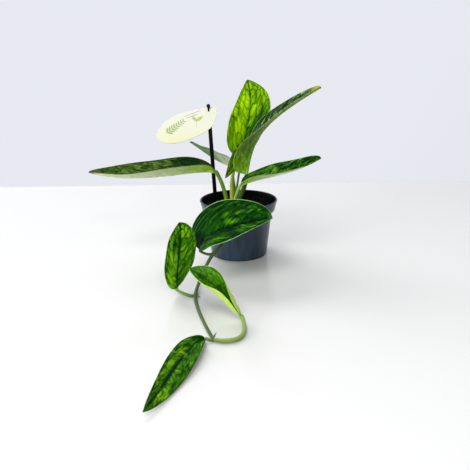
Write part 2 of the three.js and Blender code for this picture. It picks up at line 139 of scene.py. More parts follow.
def maths(tree, operation, *values):
    """The output of a Math node."""
    return node(tree, "ShaderNodeMath", dict(enumerate(values)), operation=operation).outputs[0]


def times(tree, first, second):
    """The product of two values."""
    return maths(tree, "MULTIPLY", first, second)


def total(tree, *values):
    """The sum of several values."""
    result = values[0]
    for value in values[1:]:
        result = maths(tree, "ADD", result, value)
    return result


def ramp(tree, value, low, high, start=0.0, end=1.0):
    """value taken from low..high to start..end, eased at both ends."""
    inputs = {"Value": value, "From Min": low, "From Max": high, "To Min": start, "To Max": end}
    return node(tree, "ShaderNodeMapRange", inputs, interpolation_type="SMOOTHSTEP").outputs[0]


def blend(tree, share, first, second):
    """A colour between first and second."""
    first, second = (
        end if isinstance(end, bpy.types.NodeSocket) else (*end, 1) for end in (first, second))
    return node(tree, "ShaderNodeMix", {0: share, 6: first, 7: second}, data_type="RGBA").outputs[2]


def attribute(tree, name):
    """A number stored on the mesh."""
    return node(tree, "ShaderNodeAttribute", attribute_name=name).outputs["Fac"]


def noise(tree, scale, detail=3, rough=0.5, vector=None):
    """Soft noise on Object coordinates, from 0 to 1."""
    place = vector or node(tree, "ShaderNodeTexCoord").outputs["Object"]
    inputs = {"Vector": place, "Scale": scale, "Detail": detail, "Roughness": rough}
    return node(tree, "ShaderNodeTexNoise", inputs).outputs["Fac"]


def bump(tree, height, distance, strength=1.0, normal=None):
    """A Bump node's normal."""
    inputs = {"Height": height, "Distance": distance, "Strength": strength}
    if normal is not None:
        inputs["Normal"] = normal
    return node(tree, "ShaderNodeBump", inputs).outputs[0]


def new_material(name):
    """An empty material: its tree, its Principled shader and the material."""
    material = bpy.data.materials.new(name)
    material.use_nodes = True
    tree = material.node_tree
    return tree, tree.nodes["Principled BSDF"], material


# %% [markdown]
# ## Making and finishing meshes
#
# A mesh is a list of points and a list of faces. A grid of points is the easiest: rows along the
# leaf and columns across it. Geometry Nodes then add what repeats, and the result is baked back
# into a plain mesh, because the exporter drops live instances.


# %% Mesh helpers
def add_object(name, points, faces, material=None):
    """A new smooth-shaded object at the origin."""
    mesh = bpy.data.meshes.new(name)
    mesh.from_pydata([tuple(p) for p in points], [], [tuple(f) for f in faces])
    mesh.shade_smooth()
    made = bpy.data.objects.new(name, mesh)
    bpy.context.scene.collection.objects.link(made)
    if material:
        mesh.materials.append(material)
    return made


def grid_faces(rows, columns, start=0, flip=False, closed=False):
    """The quads of a grid whose points are numbered row by row. closed joins its last column
    to its first."""
    last = columns if closed else columns - 1
    r, c = np.meshgrid(np.arange(rows - 1), np.arange(last), indexing="ij")
    a = start + r * columns + c
    b = start + r * columns + (c + 1) % columns
    quads = np.stack([a, b, b + columns, a + columns], -1).reshape(-1, 4)
    return (quads[:, ::-1] if flip else quads).tolist()


def store(obj, name, values):
    """Keeps a number, or a direction, for each point of the mesh."""
    values = np.asarray(values, np.float32)
    if values.ndim == 1:
        obj.data.attributes.new(name, "FLOAT", "POINT").data.foreach_set("value", values)
    else:
        layer = obj.data.attributes.new(name, "FLOAT_VECTOR", "POINT")
        layer.data.foreach_set("vector", values.ravel())


def paint(obj, material):
    """Gives every face of the object one material."""
    obj.data.materials.clear()
    obj.data.materials.append(material)
    for face in obj.data.polygons:
        face.material_index = 0


def baked(obj):
    """Turns the object's modifiers into plain mesh."""
    graph = bpy.context.evaluated_depsgraph_get()
    mesh = bpy.data.meshes.new_from_object(
        obj.evaluated_get(graph), preserve_all_data_layers=True, depsgraph=graph)
    obj.modifiers.clear()
    obj.data = mesh
    return obj


def new_tree(name, numbers, counts=()):
    """A Geometry Nodes tree with named inputs, and the outputs of its input node."""
    tree = bpy.data.node_groups.new(name, "GeometryNodeTree")
    tree.interface.new_socket("Geometry", in_out="INPUT", socket_type="NodeSocketGeometry")
    for kind, sockets in (("NodeSocketFloat", numbers), ("NodeSocketInt", counts)):
        for label, value in sockets:
            tree.interface.new_socket(label, in_out="INPUT", socket_type=kind).default_value = value
    tree.interface.new_socket("Material", in_out="INPUT", socket_type="NodeSocketMaterial")
    tree.interface.new_socket("Geometry", in_out="OUTPUT", socket_type="NodeSocketGeometry")
    return tree, node(tree, "NodeGroupInput").outputs


def grow(obj, tree, **values):
    """Runs a Geometry Nodes tree on the object with these inputs, and bakes the result."""
    modifier = obj.modifiers.new(tree.name, "NODES")
    modifier.node_group = tree
    for item in tree.interface.items_tree:
        key = item.name.replace(" ", "_").lower()
        if item.item_type == "SOCKET" and item.in_out == "INPUT" and key in values:
            modifier[item.identifier] = values[key]
    return baked(obj)


def finish_piece(obj, *nodes, slot):
    """Hangs the piece from the root, so that it moves with it, and hides the CAD parts that it stands for.
    Its slot is not used.
    """
    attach(obj, ROOT)
    if nodes:
        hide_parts(*nodes)
    print(f"{obj.name}: {len(obj.data.polygons)} faces")


# %% [markdown]
# ## The floor
#
# It is a stage, not a part of the plant: pale, smooth and glossy enough to mirror the pot a
# little, as the table does.

# %% Light from all round
world = bpy.data.worlds.new("room")
world.use_nodes = True
world_tree = world.node_tree
way = node(world_tree, "ShaderNodeTexCoord").outputs["Generated"]
facing_window = node(world_tree, "ShaderNodeVectorMath", {0: way, 1: WINDOW_WAY},
                     operation="DOT_PRODUCT").outputs["Value"]
room = blend(world_tree, ramp(world_tree, facing_window, -0.35, 0.75), ROOM_DIM, ROOM_BRIGHT)
world_tree.links.new(room, world_tree.nodes["Background"].inputs["Color"])
bpy.context.scene.world = world

# %% Lay the floor
FLOOR_COLOUR = (0.68, 0.675, 0.66)
FLOOR_HALF_WIDTH = 2.2
FLOOR_FRONT = -2.4
FLOOR_BACK = 0.47
floor_tree, floor_shader, floor_material = new_material("table_top")
wire(floor_tree, floor_shader, {"Base Color": (*FLOOR_COLOUR, 1), "Roughness": 0.16})
floor = add_object("floor", [
    (-FLOOR_HALF_WIDTH, FLOOR_FRONT, 0), (FLOOR_HALF_WIDTH, FLOOR_FRONT, 0),
    (FLOOR_HALF_WIDTH, FLOOR_BACK, 0), (-FLOOR_HALF_WIDTH, FLOOR_BACK, 0)],
    [(0, 1, 2, 3)], floor_material)

# %% [markdown]
# ## The form of a leaf
#
# A leaf is built on its midrib, a Bezier arc through space. Along it, the direction that the
# upper side faces turns from one vector to the next, and across it the two halves leave the
# midrib at a fold and curl towards the margin. The outline is a power curve, fuller near the
# base than at the tip. These are the same numbers as in the CAD source, in millimetres. Nearly all
# of them come from least-squares fits to the leaves' outlines in the photograph, which a separate
# program made and rounded.

# %% Leaf shapes
CUPPED = ((-12, -10), (-6, -6))
LEAVES = {
    "left": {
        "rib": ((-37, -6, 132), (-65, -6, 139.5), (-149, -28.5, 116.5), (-220, -30, 140)),
        "face": ((0.11, 0.03, 0.99), (0.39, -0.07, 0.91)),
        "outline": (73, 0.56, 0.67, -0.01), "fold": ((41, 38), (28, 29)),
    },
    "upright": {
        "rib": ((3, 41, 144), (17, 45.5, 189), (27, 56, 227.5), (17, 89, 261.5)),
        "face": ((-0.8, -0.57, 0.04), (-0.16, -0.59, 0.77)),
        "outline": (82.5, 0.43, 0.82, 0.14), "fold": ((34, 26), (-4, 4)),
    },
    "arching": {
        "rib": ((13, -16, 130), (21, -19, 183.5), (31, -10, 203.5), (118, -25.5, 255.5)),
        "face": ((-0.63, 0.77, 0.04), (-0.75, -0.53, 0.39), (-0.44, -0.13, 0.89)),
        "outline": (46.5, 0.19, 0.33, 0.21), "fold": ((43, 39), (28, 29)),
    },
    "drooping": {
        "rib": ((4, 3, 163), (2, -6, 170), (-3, -9, 145), (-20, -7, 122)),
        "face": ((0, 0.35, 0.95), (-0.1, -1, 0.2)),
        "outline": (19, 0.5, 0.75, 0), "fold": ((14, 14), (8, 8)),
    },
    "back": {
        "rib": ((-11, 36, 134), (-27, 36, 136.5), (-47, 67.5, 145.5), (-78.5, 91, 163)),
        "face": ((0.6, 0.32, 0.72), (0.34, 0.24, 0.87)),
        "outline": (42, 0.26, 0.58, 0.01), "fold": ((32, 24), (21, 8)),
    },
    "right": {
        "rib": ((4, -40, 118.5), (17.5, -45, 131.5), (79.5, -38.5, 131), (117.5, -50.5, 160)),
        "face": ((-0.74, 0.08, 0.66), (-0.69, -0.13, 0.71)),
        "outline": (48, 0.55, 0.55, -0.04), "fold": ((35, 34), (24, 20)),
    },
    "front": {
        "rib": ((-55, -112, 45), (-57, -112, 74.5), (5.5, -100, 78), (45, -110.5, 89.5)),
        "face": ((-0.86, -0.35, 0.35), (-0.28, -0.2, 0.94)),
        "outline": (93.5, 0.59, 0.65, -0.17), "fold": ((12, 10), (22, 18)),
    },
    "standing": {
        "rib": ((-84, -158, 9), (-83.5, -165, 44.5), (-73.5, -154.5, 74), (-76.5, -160.5, 100)),
        "face": ((0.74, -0.65, -0.13), (0.53, -0.84, -0.06)),
        "outline": (53, 0.46, 0.62, 0.06), "fold": ((13, -2), (16, 10)),
    },
    "young": {
        "rib": ((-1, -240, 9), (-21, -223, 33), (-38, -216, 43), (-60, -228, 64)),
        "face": ((-0.13, -0.85, 0.51), (0.62, -0.74, 0.25)),
        "outline": (52, 0.5, 0.75, 0), "fold": ((35, 35), (10, 10)),
        "curl": ((108, 108), (50, -20)), "hold": 2,
    },
    "lowest": {
        "rib": ((-41, -286, 4), (-62, -286, -2), (-66, -363, 12), (-88.5, -417, 7)),
        "face": ((-0.31, -0.4, 0.87), (0.72, -0.21, 0.69)),
        "outline": (31, 0.5, 0.69, -0.13), "fold": ((48, 26), (8, 8)),
    },
}
BASE_HALF_WIDTH = 1.6
TIP_HALF_WIDTH = 0.3
MARGIN_WAVE = 0.8
MARGIN_WAVES = 2
MARGIN_PHASE = 0.2


# %% Leaf formula
def unit(vectors):
    """Vectors of length one."""
    return vectors / np.linalg.norm(vectors, axis=-1, keepdims=True)


def bernstein(points, u):
    """The Bezier arc of any number of points."""
    degree = len(points) - 1
    weights = [math.comb(degree, k) * u ** k * (1 - u) ** (degree - k) for k in range(degree + 1)]
    return np.stack(weights, -1) @ np.asarray(points, float)


def midrib(leaf, u):
    """The midrib's points, and the across and up directions there."""
    rib = np.asarray(leaf["rib"], float)
    along = unit(bernstein(np.diff(rib, axis=0), u))
    face = bernstein(unit(np.asarray(leaf["face"], float)), u)
    across = unit(np.cross(along, face))
    return bernstein(rib, u), across, np.cross(across, along)


def half_width(leaf, u):
    """Half the breadth of the blade along the midrib, in millimetres."""
    width, swell, taper, _ = leaf["outline"]
    peak = swell / (swell + taper)
    outline = np.maximum(u, 1e-9) ** swell * (1 - u) ** taper
    outline = outline / (peak ** swell * (1 - peak) ** taper)
    least = BASE_HALF_WIDTH + (TIP_HALF_WIDTH - BASE_HALF_WIDTH) * u
    return np.maximum(outline * width / 2, least)


def upper_side(leaf, u, v):
    """Points of the upper side, and where it faces. u runs along the midrib from 0 to 1, and v
    across from -1 to 1."""
    middle, across, up = midrib(leaf, u)
    half = half_width(leaf, u)[:, None]
    fullness = np.minimum(1, 2 * half / leaf["outline"][0])
    opened = (u ** leaf.get("hold", 1))[:, None]
    side = (v >= 0).astype(int)[None, :]
    sign = np.where(side == 1, 1, -1)
    reach = np.abs(v)[None, :]
    fold_base, fold_tip = (np.radians(np.array(f, float))[side] for f in leaf["fold"])
    curl_base, curl_tip = (np.radians(np.array(c, float))[side] for c in leaf.get("curl", CUPPED))
    fold = fold_base + (fold_tip - fold_base) * opened
    curl = curl_base + (curl_tip - curl_base) * opened
    curl = np.where(np.abs(curl) < 1e-6, 1e-6, curl)
    slope = fold + curl * reach
    breadth = half * (1 + sign * leaf["outline"][3])
    outward = (np.sin(slope) - np.sin(fold)) / curl * breadth * sign
    rise = (np.cos(fold) - np.cos(slope)) / curl * breadth
    phase = 2 * math.pi * (MARGIN_WAVES * u[:, None] + MARGIN_PHASE + 0.5 * side)
    rise = rise + MARGIN_WAVE * reach ** 2 * np.sin(phase) * fullness
    lean = slope * np.minimum(1, reach / 0.06)
    points = middle[:, None] + across[:, None] * outward[..., None] + up[:, None] * rise[..., None]
    facing = up[:, None] * np.cos(lean)[..., None] - across[:, None] * (sign * np.sin(lean))[..., None]
    return points, facing, breadth * reach * sign


# %% [markdown]
# ## Two skins for one blade
#
# A real blade has an upper and an under skin a third of a millimetre apart, thinner at the
# margin, with the midrib standing out below. The grid is made twice and joined round the edge.
# Each point remembers how far along and across the leaf it lies, and where the leaf faces: the
# relief tree reads that, and moves both skins together.

# %% Blade mesh
GRID_STEP = 0.85
BLADE_THICKNESS = 0.62
MARGIN_THINNING = 0.5
RIB_DEPTH = 1.25
RIB_HALF_WIDTH = 1.3


def blade_object(name, leaf):
    """The blade as a thin closed mesh with its leaf coordinates stored."""
    width = leaf["outline"][0]
    even = bernstein(np.asarray(leaf["rib"], float), np.linspace(0, 1, 200))
    travelled = np.concatenate([[0], np.cumsum(np.linalg.norm(np.diff(even, axis=0), axis=1))])
    rows = max(60, round(travelled[-1] / GRID_STEP))
    columns = 2 * max(14, round(width / GRID_STEP / 2)) + 1
    s = np.linspace(0, 1, rows)
    u = 0.35 * s + 0.65 * (0.5 - 0.5 * np.cos(np.pi * s))
    v = np.linspace(-1, 1, columns)
    v = np.sign(v) * np.abs(v) ** 1.1
    top, facing, across = upper_side(leaf, u, v)
    along = np.broadcast_to(np.interp(u, np.linspace(0, 1, 200), travelled)[:, None], across.shape)
    share = np.broadcast_to(np.abs(v)[None, :], across.shape)
    rib = RIB_DEPTH * np.sqrt(1 - 0.8 * u)[:, None] * np.exp(-(across / RIB_HALF_WIDTH) ** 2)
    depth = BLADE_THICKNESS * (1 - MARGIN_THINNING * share ** 6) + rib
    under = top - facing * depth[..., None]
    count = rows * columns
    faces = grid_faces(rows, columns) + grid_faces(rows, columns, start=count, flip=True)
    edge = ([r * columns for r in range(rows)]
            + [(rows - 1) * columns + c for c in range(1, columns)]
            + [r * columns + columns - 1 for r in range(rows - 2, -1, -1)]
            + list(range(columns - 2, 0, -1)))
    for a, b in zip(edge, edge[1:] + edge[:1]):
        faces.append((a, a + count, b + count, b)[::-1])
    points = np.concatenate([top.reshape(-1, 3), under.reshape(-1, 3)]) * MM
    made = add_object(name, points, faces)
    store(made, "along", np.tile(along.ravel(), 2))
    store(made, "across", np.tile(across.ravel(), 2))
    store(made, "share", np.tile(share.ravel(), 2))
    store(made, "reach", np.tile(np.broadcast_to(u[:, None], across.shape).ravel(), 2))
    store(made, "under", np.repeat([0.0, 1.0], count))
    store(made, "facing", np.tile(facing.reshape(-1, 3), (2, 1)))
    return made


# %% [markdown]
# ## The quilting, as a Geometry Nodes tree
#
# Between its side veins this plant's leaf swells into long cushions. The side veins sweep
# towards the tip, so the tree first bends the leaf coordinates to follow them: one number counts
# the veins along the leaf, the other runs out along a vein. A Voronoi pattern in those
# coordinates gives the cushions. Its distance to the nearest edge is their height, and the edges
# themselves are the sunken net of veins. The bent coordinates are stored, so that the material
# can paint on the very same pattern.


# %% Relief tree
CELL_RANDOMNESS = 0.58
CELL_START = 0.79


def relief_tree():
    """Quilts a blade along its own coordinates."""
    tree, given = new_tree("quilting", (
        ("Vein Spacing", 11.0), ("Vein Sweep", 0.8), ("Rows", 3.2), ("Cushion Height", 0.9),
        ("Vein Depth", 0.35), ("Seed", 1.0)))

    def stored(name, kind="FLOAT"):
        return node(tree, "GeometryNodeInputNamedAttribute", {"Name": name}, data_type=kind).outputs[0]

    along, across, share, reach = (stored(n) for n in ("along", "across", "share", "reach"))
    out = maths(tree, "ABSOLUTE", across)
    side = maths(tree, "SIGN", across)
    bend = times(tree, maths(tree, "ADD", 0.55, share), given["Vein Sweep"])
    start = maths(tree, "SUBTRACT", along, times(tree, out, bend))
    wander = node(tree, "ShaderNodeTexNoise", {
        "Vector": node(tree, "ShaderNodeCombineXYZ", {
            "X": times(tree, along, 0.09), "Y": times(tree, across, 0.09),
            "Z": given["Seed"]}).outputs[0],
        "Scale": 1.0, "Detail": 1.0}).outputs[0]
    wander = maths(tree, "SUBTRACT", wander, 0.5)
    veins = maths(tree, "ADD", maths(tree, "DIVIDE", start, given["Vein Spacing"]), wander)
    rows = times(tree, maths(tree, "POWER", share, 1.2), given["Rows"])
    rows = maths(tree, "ADD", rows, times(tree, wander, 0.6))
    rows = maths(tree, "ADD", times(tree, rows, side), CELL_START)
    place = node(tree, "ShaderNodeCombineXYZ", {"X": veins, "Y": rows, "Z": given["Seed"]}).outputs[0]
    cells = {"Vector": place, "Scale": 1.0, "Randomness": CELL_RANDOMNESS}
    edge = node(tree, "ShaderNodeTexVoronoi", cells, feature="DISTANCE_TO_EDGE").outputs["Distance"]
    fine = dict(cells, Scale=2.7)
    net = node(tree, "ShaderNodeTexVoronoi", fine, feature="DISTANCE_TO_EDGE").outputs["Distance"]
    middle = ramp(tree, out, 0.4, 3.6)
    skirt = times(tree, ramp(tree, share, 1.0, 0.9), ramp(tree, reach, 0.0, 0.06))
    skirt = times(tree, skirt, ramp(tree, reach, 1.0, 0.9))
    skirt = times(tree, skirt, middle)
    cushion = times(tree, ramp(tree, edge, 0.0, 0.40), skirt)
    pimple = times(tree, ramp(tree, net, 0.0, 0.3), skirt)
    vein = maths(tree, "MAXIMUM", ramp(tree, edge, 0.09, 0.0), ramp(tree, out, 1.3, 0.4))
    vein = times(tree, vein, ramp(tree, share, 1.0, 0.93))
    height = times(tree, cushion, given["Cushion Height"])
    height = maths(tree, "ADD", height, times(tree, pimple, 0.16))
    height = maths(tree, "SUBTRACT", height, times(tree, vein, given["Vein Depth"]))
    height = times(tree, height, MM)
    push = node(tree, "ShaderNodeVectorMath", {0: stored("facing", "FLOAT_VECTOR"), "Scale": height},
                operation="SCALE").outputs[0]
    shape = node(tree, "GeometryNodeSetPosition", {"Geometry": given["Geometry"], "Offset": push})
    shape = shape.outputs[0]
    shape = node(tree, "GeometryNodeStoreNamedAttribute", {
        "Geometry": shape, "Name": "flow", "Value": place},
        data_type="FLOAT_VECTOR", domain="POINT").outputs[0]
    shape = node(tree, "GeometryNodeRealizeInstances", {"Geometry": shape}).outputs[0]
    shape = node(tree, "GeometryNodeSetMaterial", {"Geometry": shape, "Material": given["Material"]})
    node(tree, "NodeGroupOutput", {"Geometry": shape.outputs[0]})
    return tree


QUILTING = relief_tree()
print("quilting tree:", len(QUILTING.nodes), "nodes")

# %% [markdown]
# ## The skin of a leaf
#
# The greens are painted in layers: a ground that drifts between dark and light, paler cushions,
# fine streaks that follow the side veins, thin dark veins, and a darker zone at the midrib. The
# paler cushions are partly the plant's own tone and partly painted sheen on the swellings; the
# other layers are as the plant has them. The layers add up to one number, and three greens are
# blended by it. A few soft patches per leaf make parts of it paler or darker: some are the leaf's
# own tone, and some are painted shadow, such as the arching leaf's shadow on the upright leaf. Each
# has its place along and across the leaf, its two half sizes, all in millimetres, and its strength.
# The upright leaf's bright greens are partly painted light, the glow of a leaf against the window.
# The under side is paler and duller; where it is near-white, on the left, right and back leaves, it
# is partly painted light. Light also passes through a blade, which a Translucent shader mixed in
# gives: without it, a leaf against the window would look like card.

# %% Leaf looks
LEAF = {
    "greens": ((0.001, 0.016, 0.001), (0.016, 0.105, 0.002), (0.11, 0.32, 0.004)),
    "ground": 0.42, "drift": 0.55, "cushions": 0.15, "streaks": 0.3, "lines": 0.3,
    "midrib": (2.0, 0.25), "rim": 0.25, "tone_and_shadow_patches": (), "fine": (4.2, 0.8),
    "under": ((0.22, 0.42, 0.06), (0.28, 0.48, 0.12)), "under_dark": 0.45,
    "tip": (0.02, 0.11, 0.004), "margin": (0.25, 0.45, 0.10),
    "glow": (0.25, 0.55, 0.01), "through": 0.12, "shine": 0.1, "rough": 0.32,
}
LEAF_LOOKS = {
    "left": {
        "greens": ((0.001, 0.026, 0.001), (0.045, 0.115, 0.010), (0.19, 0.29, 0.09)),
        "ground": 0.45, "drift": 0.3, "streaks": 0.8, "lines": 0.2, "cushions": 0.12,
        "fine": (1.4, 2.6), "tone_and_shadow_patches": ((18, 30, 26, 22, -0.5), (45, 22, 20, 10, -0.2)),
        # The near-white under side is partly its own paler colour and partly painted light.
        "under": ((0.42, 0.80, 0.02), (0.92, 1.0, 0.62)), "under_dark": 0.25,
        "tip": (0.14, 0.11, 0.09), "margin": (0.10, 0.16, 0.05), "glow": (0.7, 0.9, 0.2),
        "through": 0.3,
    },
    "upright": {
        # Its bright greens are partly its own colour and partly painted light: the glow of a leaf against
        # the window.
        "greens": ((0.006, 0.070, 0.001), (0.15, 0.36, 0.001), (0.46, 0.76, 0.001)),
        "ground": 0.58, "drift": 0.36, "cushions": 0.16, "streaks": 0.08, "lines": 0.34,
        "midrib": (1.6, 0.35), "rim": 0.05,
        # The dark patch at 50 mm along and 26 mm across is painted shadow of the arching leaf.
        "tone_and_shadow_patches": ((90, -9, 16, 8, 0.4), (52, -14, 16, 9, 0.25), (50, 26, 26, 14, -0.55),
                    (30, 8, 18, 10, -0.3), (70, 30, 30, 8, -0.15)),
        "tip": (0.06, 0.20, 0.004), "margin": (0.30, 0.52, 0.03),
        "glow": (0.55, 0.90, 0.001), "through": 0.36, "shine": 0.04,
    },
    "arching": {
        "greens": ((0.002, 0.022, 0.003), (0.035, 0.100, 0.016), (0.30, 0.40, 0.19)),
        "ground": 0.4, "drift": 0.5, "streaks": 0.7,
        "under": ((0.15, 0.36, 0.001), (0.34, 0.54, 0.12)), "under_dark": 0.75,
        "tip": (0.36, 0.42, 0.05), "glow": (0.25, 0.45, 0.02), "shine": 0.16,
    },
    "drooping": {
        "greens": ((0.02, 0.06, 0.001), (0.08, 0.17, 0.002), (0.16, 0.30, 0.01)),
        "under": ((0.13, 0.30, 0.002), (0.20, 0.38, 0.02)), "tip": (0.20, 0.09, 0.06),
        "margin": (0.18, 0.28, 0.08),
    },
    "back": {
        "greens": ((0.004, 0.025, 0.003), (0.02, 0.08, 0.012), (0.06, 0.16, 0.04)),
        # The near-white under side near the base is partly its own paler colour and partly painted light.
        "under": ((0.85, 1.0, 0.66), (0.12, 0.24, 0.07)), "tip": (0.02, 0.06, 0.02),
        "margin": (0.05, 0.12, 0.03), "glow": (0.3, 0.5, 0.1),
    },
    "right": {
        "greens": ((0.001, 0.020, 0.001), (0.024, 0.140, 0.002), (0.20, 0.42, 0.04)),
        "ground": 0.45, "drift": 0.7, "streaks": 0.45,
        "tone_and_shadow_patches": ((52, -15, 6, 6, 0.3), (95, -8, 20, 8, -0.25), (62, -14, 6, 8, -0.3)),
        # The near-white under side is partly its own paler colour and partly painted light.
        "under": ((0.42, 0.82, 0.03), (0.98, 1.0, 0.72)), "under_dark": 0.2,
        "tip": (0.006, 0.04, 0.003), "margin": (0.16, 0.30, 0.08), "glow": (0.3, 0.55, 0.05),
        "through": 0.18,
    },
    "front": {
        "greens": ((0.0004, 0.010, 0.0015), (0.006, 0.066, 0.001), (0.085, 0.27, 0.004)),
        "ground": 0.48, "drift": 0.42, "streaks": 0.22, "lines": 0.3, "cushions": 0.16,
        "midrib": (5.0, 0.25), "rim": 0.15, "fine": (2.6, 1.2),
        "tone_and_shadow_patches": ((61, -10, 9, 5, 0.5), (8, -8, 12, 12, -0.55), (48, 8, 26, 6, -0.3),
                    (38, 20, 10, 8, 0.25), (78, 14, 12, 8, 0.2), (20, 26, 8, 9, 0.25),
                    (74, -22, 8, 4, 0.35)),
        "tip": (0.02, 0.13, 0.004), "margin": (0.30, 0.52, 0.18), "through": 0.05, "shine": 0.04,
    },
    "standing": {
        "greens": ((0.002, 0.055, 0.002), (0.075, 0.290, 0.002), (0.30, 0.70, 0.004)),
        "ground": 0.55, "drift": 0.5, "streaks": 0.2, "lines": 0.26, "cushions": 0.22,
        "midrib": (2.2, 0.6), "fine": (2.6, 1.2),
        "tone_and_shadow_patches": ((20, -9, 14, 7, 0.35), (46, -12, 10, 6, 0.35), (58, -10, 14, 2, -0.5),
                    (30, 4, 22, 4, -0.15)),
        "tip": (0.015, 0.09, 0.002), "margin": (0.09, 0.24, 0.01), "shine": 0.05,
    },
    "young": {
        "greens": ((0.006, 0.08, 0.001), (0.055, 0.24, 0.001), (0.20, 0.48, 0.015)),
        "ground": 0.55, "drift": 0.5, "streaks": 0.3, "lines": 0.25,
        "under": ((0.66, 0.98, 0.14), (0.66, 0.98, 0.16)), "under_dark": 0.2,
        "tip": (0.04, 0.20, 0.008), "margin": (0.50, 0.80, 0.16), "glow": (0.5, 0.85, 0.05),
        "through": 0.2, "shine": 0.8, "rough": 0.15,
    },
    "lowest": {
        "greens": ((0.001, 0.032, 0.001), (0.040, 0.175, 0.001), (0.22, 0.46, 0.003)),
        "ground": 0.55, "drift": 0.55, "streaks": 0.25, "lines": 0.2, "cushions": 0.2,
        "midrib": (2.2, 0.5), "fine": (2.8, 1.2),
        "tone_and_shadow_patches": ((22, -5, 22, 4, -0.45), (55, 6, 22, 3, 0.35), (108, -4, 14, 4, 0.3),
                    (78, 1, 14, 3, -0.3), (5, 0, 8, 9, -0.3)),
        "tip": (0.03, 0.14, 0.006), "margin": (0.10, 0.14, 0.01), "shine": 0.05,
    },
}


# %% Leaf finish
def clamp(tree, value):
    """value kept within 0 and 1."""
    return maths(tree, "MINIMUM", maths(tree, "MAXIMUM", value, 0.0), 1.0)


def centred(tree, value, gain):
    """value, from 0 to 1, made to swing round 0 by the gain."""
    return times(tree, maths(tree, "SUBTRACT", value, 0.5), 2.0 * gain)


def soft_patch(tree, along, across, patch):
    """A soft oval on the leaf, worth its strength in the middle and nothing outside."""
    place_along, place_across, half_length, half_breadth, strength = patch
    x = maths(tree, "DIVIDE", maths(tree, "SUBTRACT", along, place_along), half_length)
    y = maths(tree, "DIVIDE", maths(tree, "SUBTRACT", across, place_across), half_breadth)
    away = maths(tree, "ADD", times(tree, x, x), times(tree, y, y))
    return ramp(tree, away, 0.0, 2.2, strength, 0.0)


def leaf_material(name, look):
    """Upper side, under side, tip and margin of one leaf in one material."""
    tree, shader, material = new_material(f"leaf_{name}")
    look = LEAF | look
    share, reach, under = (attribute(tree, n) for n in ("share", "reach", "under"))
    along, across = attribute(tree, "along"), attribute(tree, "across")
    flow = node(tree, "ShaderNodeAttribute", attribute_name="flow").outputs["Vector"]
    wobble = node(tree, "ShaderNodeTexNoise", {"Vector": flow, "Scale": 1.7, "Detail": 2.0})
    wobble = node(tree, "ShaderNodeVectorMath", {0: wobble.outputs["Color"], 1: (0.5, 0.5, 0.5)},
                  operation="SUBTRACT").outputs[0]
    wobble = node(tree, "ShaderNodeVectorMath", {0: wobble, "Scale": 0.45}, operation="SCALE").outputs[0]
    bent = node(tree, "ShaderNodeVectorMath", {0: flow, 1: wobble}, operation="ADD").outputs[0]
    cells = {"Vector": bent, "Scale": 1.0, "Randomness": CELL_RANDOMNESS}
    edge = node(tree, "ShaderNodeTexVoronoi", cells, feature="DISTANCE_TO_EDGE").outputs["Distance"]
    tint = node(tree, "ShaderNodeTexVoronoi", cells, feature="F1").outputs["Color"]
    tint = node(tree, "ShaderNodeSeparateColor", {"Color": tint}).outputs[0]
    fine_way = node(tree, "ShaderNodeMapping", {"Vector": bent, "Scale": (*look["fine"], 1)}).outputs[0]
    streak = ramp(tree, noise(tree, 1.0, 3, 0.6, fine_way), 0.33, 0.67)
    drift = ramp(tree, noise(tree, 0.75, 3, 0.55, bent), 0.30, 0.70)
    # Paler cushion centres: partly the leaf's own tone, partly painted sheen on the swellings.
    cushion = times(tree, ramp(tree, edge, 0.0, 0.26), ramp(tree, tint, 0.0, 1.0, 0.3, 1.0))
    fading = ramp(tree, noise(tree, 1.3, 2, 0.5, flow), 0.35, 0.6, 0.35, 1.0)
    line = times(tree, ramp(tree, edge, 0.085, 0.01), fading)
    rib_width, rib_dark = look["midrib"]
    rib = maths(tree, "ABSOLUTE", across)
    rib = ramp(tree, maths(tree, "DIVIDE", rib, rib_width), 1.0, 0.15)
    # The soft patches added here are partly the leaf's own tone and partly painted shadow.
    level = total(
        tree, look["ground"], centred(tree, drift, look["drift"] / 2),
        centred(tree, cushion, look["cushions"]), centred(tree, streak, look["streaks"] / 2),
        times(tree, line, -look["lines"]), times(tree, rib, -rib_dark),
        ramp(tree, share, 0.86, 0.95, 0.0, -look["rim"]),
        *(soft_patch(tree, along, across, patch) for patch in look["tone_and_shadow_patches"]))
    level = clamp(tree, level)
    dark, middle, light = look["greens"]
    upper = blend(tree, clamp(tree, times(tree, level, 2.0)), dark, middle)
    upper = blend(tree, clamp(tree, maths(tree, "SUBTRACT", times(tree, level, 2.0), 1.0)),
                  upper, light)
    near_base, near_tip = look["under"]
    lower = blend(tree, ramp(tree, reach, 0.08, 0.65), near_base, near_tip)
    shade = times(tree, maths(tree, "SUBTRACT", 1.0, total(
        tree, times(tree, streak, 0.5), times(tree, drift, 0.5))), look["under_dark"])
    lower = blend(tree, shade, lower, tuple(c * 0.2 for c in near_base))
    paler = tuple(min(1, c * 1.3) for c in near_tip)
    lower = blend(tree, times(tree, line, 0.4), lower, paler)
    colour = blend(tree, under, upper, lower)
    colour = blend(tree, ramp(tree, reach, 0.93, 0.99), colour, look["tip"])
    colour = blend(tree, ramp(tree, share, 0.965, 0.985), colour, look["margin"])
    rough = total(tree, look["rough"] - 0.06, times(tree, noise(tree, 300, 2), 0.12),
                  times(tree, under, 0.2))
    fine = bump(tree, noise(tree, 1500, 2), 0.00006, 0.6)
    fine = bump(tree, streak, 0.0004, 0.5, fine)
    wire(tree, shader, {
        "Base Color": colour, "Roughness": rough, "Specular IOR Level": look["shine"],
        "Normal": bump(tree, ramp(tree, edge, 0.0, 0.12), 0.0003, 0.6, fine)})
    glow = blend(tree, level, tuple(c * 0.15 for c in look["glow"]), look["glow"])
    through = node(tree, "ShaderNodeBsdfTranslucent", {"Color": glow})
    mixed = node(tree, "ShaderNodeMixShader", {
        0: look["through"], 1: shader.outputs[0], 2: through.outputs[0]})
    tree.links.new(mixed.outputs[0], tree.nodes["Material Output"].inputs["Surface"])
    return material


